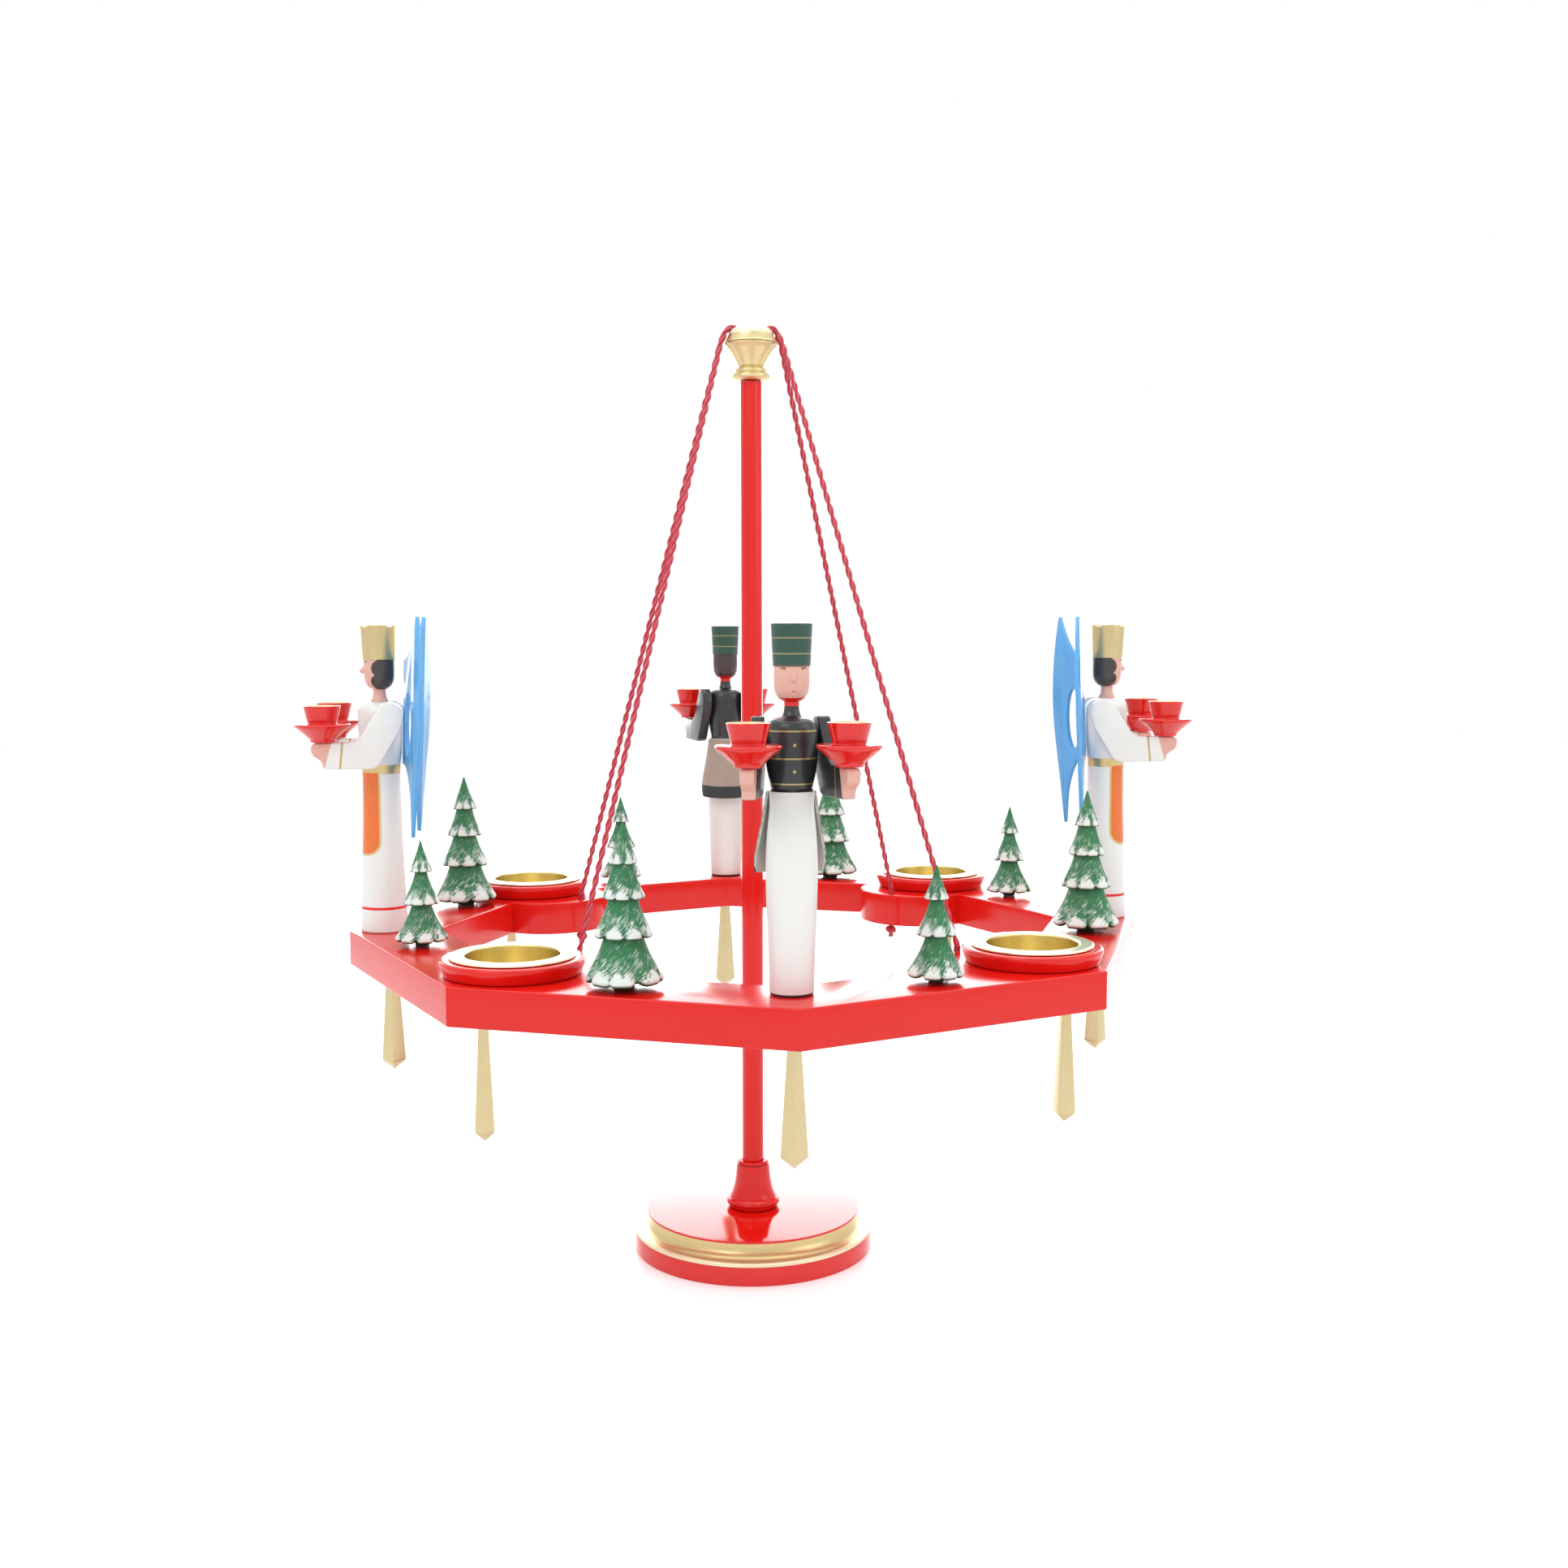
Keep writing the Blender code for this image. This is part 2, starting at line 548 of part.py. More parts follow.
def make_pendants(wreath):
    """Eight four-sided wooden drops under the corners, ridges pointing outwards."""
    half = PENDANT_WIDTH / math.sqrt(2)
    top = PENDANT_TOP_WIDTH / math.sqrt(2)
    profile = [(0, 0), (top, 0), (half, PENDANT_POINT - PENDANT_LENGTH), (0, -PENDANT_LENGTH)]
    first = None
    for corner in range(CORNERS):
        name = f"pendant_{corner + 1}"
        angle = corner * CORNER_STEP
        if first is None:
            first = turned(name, profile, 4, "gold_paint")
            pendant = first
        else:
            pendant = copy_of(first, name)
        x, y = polar(PENDANT_RADIUS, angle)
        place(pendant, wreath, (x, y, WREATH_UNDERSIDE - SEAT_GAP), (0, 0, angle))


def lofted(name, rings, finish):
    """A closed body through rings of equal count, for sections that a turning can't give."""
    mesh = bpy.data.meshes.new(name)
    work = bmesh.new()
    rows = [[work.verts.new(point) for point in ring] for ring in rings]
    for upper, lower in zip(rows[:-1], rows[1:]):
        for i in range(len(upper)):
            j = (i + 1) % len(upper)
            work.faces.new((upper[i], lower[i], lower[j], upper[j]))
    work.faces.new(rows[0])
    work.faces.new(list(reversed(rows[-1])))
    bmesh.ops.recalc_face_normals(work, faces=work.faces)
    work.to_mesh(mesh)
    work.free()
    return baked(add_object(name, mesh, finish), 50)


def make_tree(name, height, radius, tier_shares):
    """Stacked tiers with lobed, drooping rims on a short trunk."""
    lobes = 6
    sides = 2 * lobes
    lobe_share = 0.12
    droop_share = 0.16
    trunk_share = 0.24

    def ring(ring_radius, level, lobed, turn):
        points = []
        for i in range(sides):
            swell = 1 + lobed * lobe_share * (1 if i % 2 == 0 else -1)
            drop = lobed * droop_share * ring_radius * (1 if i % 2 == 0 else -1)
            angle = turn + i * 2 * math.pi / sides
            points.append((ring_radius * swell * math.cos(angle),
                           ring_radius * swell * math.sin(angle), level - drop))
        return points

    tip = 0.03 * radius
    rings = [ring(tip, height, 0, 0)]
    above = height
    for tier, (radius_share, level_share) in enumerate(tier_shares):
        rim = radius * radius_share / (1 + lobe_share)
        level = height * level_share
        turn = tier * math.pi / sides
        rings.append(ring(0.55 * rim, (level + above) / 2, 0.3, turn))
        rings.append(ring(rim, level, 1, turn))
        neck = 0.5 * rim if tier < len(tier_shares) - 1 else trunk_share * radius
        rings.append(ring(neck, level + 0.02 * height, 0, turn))
        above = level + 0.02 * height
    rings.append(ring(trunk_share * radius, 0, 0, 0))
    return lofted(name, rings, "tree_green")


def make_trees(wreath):
    """Four large and four small trees, glued by eye between the corners."""
    kinds = (("large_tree", LARGE_TREE_HEIGHT, LARGE_TREE_RADIUS, LARGE_TREE_TIER_SHARES,
              LARGE_TREE_ANGLES_DEG),
             ("small_tree", SMALL_TREE_HEIGHT, SMALL_TREE_RADIUS, SMALL_TREE_TIER_SHARES,
              SMALL_TREE_ANGLES_DEG))
    for kind, height, radius, tier_shares, angles in kinds:
        first = None
        for number, degrees in enumerate(angles, 1):
            name = f"{kind}_{number}"
            if first is None:
                first = make_tree(name, height, radius, tier_shares)
                tree = first
            else:
                tree = copy_of(first, name)
            angle = math.radians(degrees)
            x, y = polar(TREE_PLACE, angle)
            place(tree, wreath, (x, y, WREATH_TOP_HEIGHT + SEAT_GAP), (0, 0, angle))


def make_body(name, skirt_shares, torso_shares, finish):
    """Skirt or legs, waist, chest and neck, turned in one piece."""
    neck_top = SHOULDER_HEIGHT + NECK_HEIGHT
    profile = [(0, neck_top), (NECK_RADIUS, neck_top),
               (NECK_RADIUS, SHOULDER_HEIGHT + NECK_HEIGHT / 2)]
    profile += scaled(torso_shares, CHEST_RADIUS, TORSO_HEIGHT, WAIST_HEIGHT)
    profile += scaled(skirt_shares, LEG_RADIUS, WAIST_HEIGHT)
    profile += [(FOOT_RADIUS if skirt_shares is ANGEL_SKIRT_SHARES else LEG_RADIUS, 0), (0, 0)]
    return turned(name, profile, FIGURE_STEPS, finish)


def make_head(name, notched):
    """Head, nose and tall hat in one turning, the hat's rim hollowed; angels' rims are notched."""
    hat_top = HEAD_HEIGHT + HAT_HEIGHT
    well = hat_top - HAT_WELL_DEPTH
    profile = [(0, well), (HAT_TOP_RADIUS - 2 * HAT_WALL, well),
               (HAT_TOP_RADIUS - HAT_WALL, hat_top), (HAT_TOP_RADIUS, hat_top),
               (HAT_FOOT_RADIUS, HEAD_HEIGHT)]
    profile += scaled(HEAD_SHARES, HEAD_RADIUS, HEAD_HEIGHT)
    profile.append((0, 0))
    head = turned(name, profile, FIGURE_STEPS, "skin_paint")
    mesh = bpy.data.meshes.new(name + "_nose")
    work = bmesh.new()
    reach = HEAD_RADIUS + NOSE_LENGTH
    matrix = Matrix.Translation((reach / 2, 0, HEAD_HEIGHT / 2)) @ Matrix.Rotation(math.pi / 2, 4, "Y")
    bmesh.ops.create_cone(work, cap_ends=True, segments=6, radius1=reach / NOSE_LENGTH * NOSE_RADIUS,
                          radius2=NOSE_RADIUS / 4, depth=reach, matrix=matrix)
    work.to_mesh(mesh)
    work.free()
    nose = cutter(add_object(name + "_nose", mesh, None, CUTTERS))
    combine(head, nose, "UNION")
    if notched:
        lift = hat_top + CROWN_NOTCH_RADIUS - CROWN_NOTCH_DEPTH
        for turn in (math.pi / 4, -math.pi / 4):
            matrix = (Matrix.Translation((0, 0, lift)) @ Matrix.Rotation(turn, 4, "Z")
                      @ Matrix.Rotation(math.pi / 2, 4, "Y"))
            notch = cylinder_cutter(name + "_notch_cutter", CROWN_NOTCH_RADIUS,
                                    2 * HAT_TOP_RADIUS + CUT_OVERRUN, HOLE_STEPS, matrix)
            combine(head, notch, "DIFFERENCE")
    return head


def make_arm(name, finish):
    """A flat sawn arm: upper arm down from the shoulder, forearm forward, hand at its end."""
    rise = SHOULDER_HEIGHT - FOREARM_FOOT_HEIGHT
    outline = [(ARM_REACH * x, FOREARM_FOOT_HEIGHT + rise * z) for x, z in ARM_SHARES]
    level = FOREARM_TOP_HEIGHT
    outline[2:4] = [(outline[2][0], level), (outline[3][0], level)]
    return flat_board(name, [outline], ARM_THICKNESS, ARM_EDGE, finish)


def make_cup(name):
    """Candle cup and saucer in one turning."""
    wall = CUP_RADIUS - CUP_WALL
    floor = CUP_FLOOR_SHARE * CUP_HEIGHT
    cup = scaled(CUP_SHARES, CUP_RADIUS, CUP_HEIGHT)
    saucer = scaled(SAUCER_SHARES, SAUCER_RADIUS, CUP_HEIGHT)
    foot = CUP_FOOT_RADIUS
    profile = [(0, floor), (cup[-1][0] - CUP_WALL, floor), (wall, cup[1][1])]
    profile += cup[2:] + saucer
    profile += [(foot * 1.15, 0.06 * CUP_HEIGHT), (foot, 0), (0, 0)]
    return turned(name, profile, CUP_STEPS, "red_lacquer")


def make_wings(name):
    """Two leaf-shaped sawn wings, each with a long window, that meet in a V at the spine."""
    rise = WING_TOP_HEIGHT - WING_FOOT_HEIGHT
    outlines = [[(WING_SPAN * x, WING_FOOT_HEIGHT + rise * z) for x, z in shares]
                for shares in (WING_OUTER_SHARES + WING_INNER_SHARES, WING_WINDOW_SHARES)]
    board = flat_board(name, outlines, WING_THICKNESS, 0.2 * WING_THICKNESS, "blue_paint")
    board.data.transform(Matrix.Rotation(math.pi / 2, 4, "X"))
    board.data.transform(Matrix.Translation((0, WING_THICKNESS / 2, 0)))
    sweep = math.radians(WING_SWEEP_DEG)
    board.data.transform(Matrix.Rotation(math.pi / 2 + sweep, 4, "Z"))
    mirror = board.modifiers.new("Both sides", "MIRROR")
    mirror.use_axis = (False, True, False)
    mirror.use_bisect_axis = (False, True, False)
    mirror.merge_threshold = 0.05 * SEAT_GAP
    wings = baked(board)
    chest = WAIST_HEIGHT + ANGEL_TORSO_SHARES[3][1] * (SHOULDER_HEIGHT - WAIST_HEIGHT)
    lean = Matrix.Rotation(-math.radians(WING_LEAN_DEG), 4, "Y")
    wings.data.transform(Matrix.Translation((0, 0, chest)) @ lean
                         @ Matrix.Translation((0, 0, -chest)))
    return wings


def make_leather(name):
    """The miner's seat leather: a bent sheet that flares out behind the legs."""
    rows = 4
    columns = 6
    inner = LEG_RADIUS * MINER_SKIRT_SHARES[1][0] + SEAT_GAP + LEATHER_THICKNESS
    mesh = bpy.data.meshes.new(name)
    work = bmesh.new()
    grid = []
    for row in range(rows + 1):
        fall = row / rows
        radius = inner + (LEATHER_FLARE_RADIUS - inner) * fall
        round_share = 1 - 0.28 * max(0, fall - 0.7) / 0.3
        half_turn = math.radians(LEATHER_HALF_TURN_DEG) * round_share
        line = []
        for column in range(columns + 1):
            angle = math.pi + half_turn * (2 * column / columns - 1)
            line.append(work.verts.new((radius * math.cos(angle), radius * math.sin(angle),
                                        LEATHER_TOP_HEIGHT - LEATHER_LENGTH * fall)))
        grid.append(line)
    for row in range(rows):
        for column in range(columns):
            work.faces.new((grid[row][column], grid[row + 1][column],
                            grid[row + 1][column + 1], grid[row][column + 1]))
    work.to_mesh(mesh)
    work.free()
    thing = add_object(name, mesh, "leather")
    shell = thing.modifiers.new("Hide", "SOLIDIFY")
    shell.thickness = LEATHER_THICKNESS
    shell.offset = -1
    return baked(thing)


def make_figures(wreath):
    """Two angels and two miners; the second of each kind shares the first one's meshes."""
    splay = math.radians(ARM_SPLAY_DEG)
    kinds = (("angel", ANGEL_RADIUS, ("right", 0.0), ("left", math.pi), ANGEL_SKIRT_SHARES,
              ANGEL_TORSO_SHARES, "white_paint", "white_paint"),
             ("miner", MINER_RADIUS, ("front", -math.pi / 2), ("rear", math.pi / 2),
              MINER_SKIRT_SHARES, MINER_TORSO_SHARES, "black_paint", "black_paint"))
    for kind, radius, near, far, skirt_shares, torso_shares, cloth, sleeve in kinds:
        first = {}
        for side, angle in (near, far):
            name = f"{kind}_{side}"
            spot = station(name + "_place", wreath, radius, angle, WREATH_TOP_HEIGHT + SEAT_GAP)
            if not first:
                first["body"] = make_body(name + "_body", skirt_shares, torso_shares, cloth)
                first["head"] = make_head(name + "_head", kind == "angel")
                first["arm_l"] = make_arm(name + "_arm_l", sleeve)
                first["cup_l"] = make_cup(name + "_cup_l")
                if kind == "angel":
                    first["wings"] = make_wings(name + "_wings")
                else:
                    first["leather"] = make_leather(name + "_leather")
                made = dict(first)
            else:
                made = {piece: copy_of(thing, f"{name}_{piece}") for piece, thing in first.items()}
            made["arm_r"] = copy_of(first["arm_l"], name + "_arm_r")
            made["cup_r"] = copy_of(first["cup_l"], name + "_cup_r")
            place(made["body"], spot)
            place(made["head"], spot, (0, 0, HEAD_FOOT_HEIGHT))
            for hand, way in (("l", 1), ("r", -1)):
                turn = way * splay
                aside = Vector((-math.sin(turn), math.cos(turn), 0)) * ARM_PLACE * way
                ahead = Vector((math.cos(turn), math.sin(turn), 0)) * CUP_REACH
                place(made["arm_" + hand], spot, aside, (math.pi / 2, 0, turn))
                cup_spot = aside + ahead + Vector((0, 0, FOREARM_TOP_HEIGHT + SEAT_GAP))
                place(made["cup_" + hand], spot, cup_spot)
            if kind == "angel":
                place(made["wings"], spot, (-CHEST_RADIUS - SEAT_GAP, 0, 0))
            else:
                place(made["leather"], spot)


def smooth_route(knots, spacing):
    """Points along a Catmull-Rom curve through the knots, about one spacing apart."""
    knots = [Vector(knot) for knot in knots]
    ends = [2 * knots[0] - knots[1]] + knots + [2 * knots[-1] - knots[-2]]
    points = []
    for i in range(1, len(ends) - 2):
        before, here, there, after = ends[i - 1:i + 3]
        steps = max(1, round((there - here).length / spacing))
        for step in range(steps):
            t = step / steps
            points.append(0.5 * (2 * here + (there - before) * t
                                 + (2 * before - 5 * here + 4 * there - after) * t ** 2
                                 + (3 * here - before - 3 * there + after) * t ** 3))
    points.append(knots[-1])
    return points


def make_cord(wreath, name, side):
    """One cord from the knot under the left tab, over the cap, to the knot under the right tab."""
    span = CORD_HOLE_PLACE / math.sqrt(2)
    lane = side * CORD_LANE
    lie = GROOVE_FLOOR_HEIGHT + SEAT_GAP + CORD_RADIUS
    knot = WREATH_UNDERSIDE - SEAT_GAP - CORD_KNOT_RADIUS
    clear = WREATH_TOP_HEIGHT + CORD_DIAMETER
    half = [(0, lane, lie)]
    half += [(CAP_RADIUS * out, lane * aside, lie - CORD_DIAMETER * down)
             for out, aside, down in CORD_BEND_SHARES]
    top = Vector(half[-1])
    foot = Vector((span, side * span, clear))
    slack = 0.02 * CORD_DIAMETER
    for share in (0.06, 0.5, 0.96):
        point = top.lerp(foot, share)
        point.z -= slack
        half.append(tuple(point))
    half.append((span, side * span, clear - CORD_RADIUS))
    half.append((span, side * span, WREATH_UNDERSIDE))
    half.append((span, side * span, knot - CORD_TAIL))
    left = [(-x, y, z) for x, y, z in reversed(half[1:])]
    route = smooth_route(left + half, 5 * CORD_DIAMETER)
    curve = bpy.data.curves.new(name, "CURVE")
    curve.dimensions = "3D"
    curve.bevel_depth = CORD_RADIUS
    curve.bevel_resolution = 2
    curve.use_fill_caps = True
    spline = curve.splines.new("POLY")
    spline.points.add(len(route) - 1)
    for point, spot in zip(spline.points, route):
        point.co = (*spot, 1)
    cord = baked(add_object(name, curve, "red_cord"))
    for end in (-1, 1):
        mesh = bpy.data.meshes.new(name + "_knot")
        work = bmesh.new()
        bmesh.ops.create_uvsphere(work, u_segments=10, v_segments=6, radius=CORD_KNOT_RADIUS,
                                  matrix=Matrix.Translation((end * span, side * span, knot)))
        work.to_mesh(mesh)
        work.free()
        ball = cutter(add_object(name + "_knot", mesh, None, CUTTERS))
        cord = combine(cord, ball, "UNION")
    return place(cord, wreath)


def build():
    make_base()
    make_collar()
    make_post()
    make_finial_cup()
    wreath = marker("wreath_axis")
    make_finial_cap(wreath)
    make_wreath_board(wreath)
    plinth = None
    bowl = None
    for corner, name in ((1, "candle_rear_right"), (3, "candle_rear_left"),
                         (5, "candle_front_left"), (7, "candle_front_right")):
        plinth, bowl = make_candle_station(wreath, plinth, bowl, name, corner * CORNER_STEP)
    make_pendants(wreath)
    make_trees(wreath)
    make_figures(wreath)
    make_cord(wreath, "cord_front", -1)
    make_cord(wreath, "cord_rear", 1)


build()
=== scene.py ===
"""Looks of an advent wreath candle holder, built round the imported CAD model.

Metres, in the CAD's own frame: +Z up the post, angels at +X and -X, miners at -Y and +Y.
A new piece is a surface of two parameters, worked out as whole arrays, with its place in its mesh.
Every vertex keeps "local", its point before the piece was placed, and "mark", three shares that
a paint can read.
"""
import math

import bmesh
import bpy
import numpy as np
from mathutils import Matrix, Vector


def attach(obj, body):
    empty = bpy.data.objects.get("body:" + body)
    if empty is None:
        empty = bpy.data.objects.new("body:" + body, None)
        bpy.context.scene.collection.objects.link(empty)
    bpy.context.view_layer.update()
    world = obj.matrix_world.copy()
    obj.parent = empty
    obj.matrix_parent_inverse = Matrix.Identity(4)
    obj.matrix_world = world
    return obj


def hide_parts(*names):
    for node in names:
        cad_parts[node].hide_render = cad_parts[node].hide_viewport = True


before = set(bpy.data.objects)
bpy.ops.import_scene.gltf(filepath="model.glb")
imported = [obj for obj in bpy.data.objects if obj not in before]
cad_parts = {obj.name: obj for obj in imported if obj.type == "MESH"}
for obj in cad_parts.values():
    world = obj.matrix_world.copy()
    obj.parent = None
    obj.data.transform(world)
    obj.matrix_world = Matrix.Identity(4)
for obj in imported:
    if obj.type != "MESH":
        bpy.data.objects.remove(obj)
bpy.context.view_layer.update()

MM = 0.001
FULL = 2 * math.pi
WELD = 0.002 * MM

# Camera, as fitted to the photograph
CAMERA_SPOT = (-0.08817, -0.94035, 0.34920)
CAMERA_AZIMUTH_DEG = 83.5587
CAMERA_PITCH_DEG = -5.145
CAMERA_ROLL_DEG = -0.046
CAMERA_LENS = 38.82

# Sizes that follow the CAD
BOARD_TOP = 185.7 * MM
BOARD_THICKNESS = 19.0 * MM
BOARD_UNDERSIDE = BOARD_TOP - BOARD_THICKNESS
BOARD_RADIUS = 222.5 * MM
BOARD_INNER_RADIUS = 174.2 * MM
SEAT_GAP = 0.3 * MM
CANDLE_RADIUS = 181.0 * MM
CORD_HOLE_PLACE = 136.5 * MM
TAB_RADIUS = 35.5 * MM
TAB_PLACE = 164.5 * MM
PENDANT_PLACE = 200.0 * MM
TREE_PLACE = 185.25 * MM
ANGEL_PLACE = 203.5 * MM
MINER_PLACE = 190.0 * MM
HEAD_SEAT = 132.3 * MM
FOREARM_TOP = 104.6 * MM
CUP_SEAT = FOREARM_TOP + SEAT_GAP
ARM_THICKNESS = 6.2 * MM
WING_THICKNESS = 2.2 * MM
WING_SWEEP = math.radians(23.0)
WING_LEAN = math.radians(2.0)
SHOULDER = 486.0 * MM
CUP_FOOT = SHOULDER + SEAT_GAP
GROOVE_FLOOR = 512.34 * MM
CORD_THICKNESS = 3.2 * MM
TAIL = 5.0 * MM
BASE_TOP = 22.0 * MM
CORNERS = 8

# The split between bell and cap, as the photograph shows it: 2 mm under the CAD's
CAP_FOOT = 506.45 * MM

# Depth of the brush strokes in the paint
STROKE = 0.05 * MM


def linear(red, green, blue):
    """An sRGB colour, 0 to 255, as the linear values that a shader takes."""
    values = np.array([red, green, blue]) / 255
    low = values / 12.92
    high = ((values + 0.055) / 1.055) ** 2.4
    return (*np.where(values > 0.04045, high, low).tolist(), 1.0)


RED = linear(231, 27, 19)
RED_DEEP = linear(216, 19, 14)
DARK_LINE_AND_GROOVE_SHADE = linear(96, 14, 14)
GOLD = linear(226, 206, 150)
GOLD_DEEP = linear(190, 168, 112)
ROLL_HIGHLIGHT_GOLD = linear(252, 244, 214)
FINIAL_GOLD = linear(232, 215, 166)
FINIAL_GOLD_DEEP = linear(206, 188, 134)
DOME_HIGHLIGHT_GOLD = linear(252, 248, 226)
PENDANT_GOLD = linear(214, 200, 158)
PENDANT_GOLD_DEEP = linear(186, 166, 118)
CROWN_GOLD = linear(214, 196, 146)
CROWN_GOLD_DEEP = linear(188, 170, 122)
BRASS = linear(237, 222, 162)
BRASS_DEEP = linear(213, 192, 120)
BRASS_RIM_HIGHLIGHT = linear(252, 246, 218)
WHITE = linear(238, 243, 241)
WHITE_WARM = linear(236, 236, 231)
SKIN = linear(232, 186, 172)
SKIN_DEEP = linear(222, 164, 150)
CHEEK = linear(228, 128, 112)
MOUTH = linear(206, 64, 56)
HAIR = linear(56, 50, 48)
HAIR_LIGHT = linear(84, 78, 76)
MINER_HAIR = linear(58, 44, 40)
MINER_HAIR_LIGHT = linear(84, 66, 58)
ORANGE = linear(240, 124, 52)
ORANGE_DEEP = linear(228, 106, 40)
BLUE = linear(26, 156, 238)
BLUE_HIGHLIGHT = linear(140, 206, 246)
BLACK = linear(38, 41, 42)
BLACK_LIGHT = linear(54, 58, 59)
HAT_GREEN = linear(42, 86, 68)
HAT_GREEN_DEEP = linear(30, 66, 54)
BRAID = linear(178, 160, 108)
LEATHER_TAN = linear(178, 160, 146)
LEATHER_TAN_DEEP = linear(160, 142, 128)
LEATHER_BLACK = linear(48, 50, 50)
LEATHER_INSIDE_PAINTED_LIGHT = linear(222, 224, 220)
LEATHER_INSIDE_PAINTED_LIGHT_DEEP = linear(178, 180, 174)
TREE_GREEN = linear(64, 138, 90)
TREE_DARK = linear(30, 90, 58)
TREE_UNDERSIDE_SHADE = linear(30, 62, 42)
SNOW = linear(238, 243, 240)
CORD_RED = linear(208, 42, 68)
CORD_DEEP = linear(158, 18, 42)
CORD_HIGHLIGHT = linear(240, 158, 164)
CREAM = linear(240, 224, 176)


# Paints


class Wire:
    """A value inside a material; arithmetic on it adds Math nodes."""

    def __init__(self, paint, socket):
        self.paint = paint
        self.socket = socket

    def math(self, operation, first, second=0.0):
        return self.paint.node("ShaderNodeMath", {"operation": operation}, {0: first, 1: second})

    def __add__(self, other):
        return self.math("ADD", self, other)

    def __radd__(self, other):
        return self.math("ADD", other, self)

    def __sub__(self, other):
        return self.math("SUBTRACT", self, other)

    def __rsub__(self, other):
        return self.math("SUBTRACT", other, self)

    def __mul__(self, other):
        return self.math("MULTIPLY", self, other)

    def __rmul__(self, other):
        return self.math("MULTIPLY", other, self)

    def __truediv__(self, other):
        return self.math("DIVIDE", self, other)

    def __pow__(self, other):
        return self.math("POWER", self, other)

    def __abs__(self):
        return self.math("ABSOLUTE", self)

    def least(self, other):
        return self.math("MINIMUM", self, other)

    def most(self, other):
        return self.math("MAXIMUM", self, other)

    def sine(self):
        return self.math("SINE", self)


class Paint:
    """One finish: a Principled shader and the nodes that feed it."""

    def __init__(self, name, **fixed):
        self.material = bpy.data.materials.new(name)
        self.material.use_nodes = True
        self.tree = self.material.node_tree
        self.shader = self.tree.nodes["Principled BSDF"]
        for key, value in fixed.items():
            self.entry(key).default_value = value

    def entry(self, key):
        """The shader's socket for a name such as base_color."""
        return self.shader.inputs[key.replace("_", " ").title().replace("Ior", "IOR")]

    def node(self, kind, settings=None, inputs=None, output=0):
        """Add a node: its settings first, then the values or links of its sockets."""
        made = self.tree.nodes.new(kind)
        for key, value in (settings or {}).items():
            setattr(made, key, value)
        for key, value in (inputs or {}).items():
            self.join(made.inputs[key], value)
        return Wire(self, made.outputs[output])

    def join(self, socket, value):
        """Link a wire to a socket, or set the socket to a plain value."""
        if isinstance(value, Wire):
            self.tree.links.new(value.socket, socket)
        else:
            socket.default_value = value

    def place(self):
        """Object coordinates."""
        return self.node("ShaderNodeTexCoord", output=3)

    def kept(self, name):
        """A vector that the mesh keeps on its vertices."""
        return self.node("ShaderNodeAttribute", {"attribute_name": name}, output=1)

    def split(self, vector):
        """The three parts of a vector."""
        made = self.tree.nodes.new("ShaderNodeSeparateXYZ")
        self.join(made.inputs[0], vector)
        return [Wire(self, socket) for socket in made.outputs]

    def vector(self, x, y, z):
        """A vector of three values."""
        return self.node("ShaderNodeCombineXYZ", None, {0: x, 1: y, 2: z})

    def noise(self, where, scale, detail=2.0, rough=0.5):
        """Cloudy values from 0 to 1."""
        return self.node("ShaderNodeTexNoise", None,
                         {"Vector": where, "Scale": scale, "Detail": detail, "Roughness": rough})

    def above(self, value, edge, soft):
        """A mask that rises smoothly from 0 to 1 as the value passes the edge."""
        return self.node("ShaderNodeMapRange", {"interpolation_type": "SMOOTHSTEP"},
                         {"Value": value, "From Min": edge - soft / 2, "From Max": edge + soft / 2})

    def between(self, value, low, high, soft):
        """A mask that is 1 between two edges."""
        return self.above(value, low, soft) * (1 - self.above(value, high, soft))

    def mix(self, first, second, share):
        """A colour between two colours."""
        return self.node("ShaderNodeMix", {"data_type": "RGBA"}, {0: share, 6: first, 7: second}, 2)

    def bump(self, height, distance, strength):
        """Raise the surface by a height times a distance."""
        normal = self.node("ShaderNodeBump", None,
                           {"Height": height, "Distance": distance, "Strength": strength})
        self.join(self.shader.inputs["Normal"], normal)

    def finish(self, **links):
        """Feed the shader and hand over the material."""
        for key, value in links.items():
            self.join(self.entry(key), value)
        return self.material

    def around(self, where):
        """Height, distance from the Z axis, and the angle from +X, 0 in front to pi behind."""
        x, y, z = self.split(where)
        radius = (x * x + y * y) ** 0.5
        angle = self.node("ShaderNodeMath", {"operation": "ARCTAN2"}, {0: abs(y), 1: x})
        return z, radius, angle


def lacquer(name, roughness, lines=()):
    """Red gloss paint with a faint flow texture, and dark lines round at the given heights; where a line
    sits in a groove it is painted shade.
    """
    paint = Paint(name, specular_ior_level=0.36, coat_weight=0.12, coat_roughness=0.05)
    where = paint.place()
    mottle = paint.noise(where, 26, 3)
    flow = paint.noise(where, 420, 2)
    colour = paint.mix(RED_DEEP, RED, 0.35 + 0.65 * mottle)
    height = paint.split(where)[2]
    for level, width in lines:
        line = paint.between(height, level - width / 2, level + width / 2, 0.3 * width)
        colour = paint.mix(colour, DARK_LINE_AND_GROOVE_SHADE, 0.8 * line)
    paint.bump(flow + 2.0 * mottle, 0.02 * MM, 0.35)
    return paint.finish(base_color=colour, roughness=roughness * (0.8 + 0.4 * mottle))


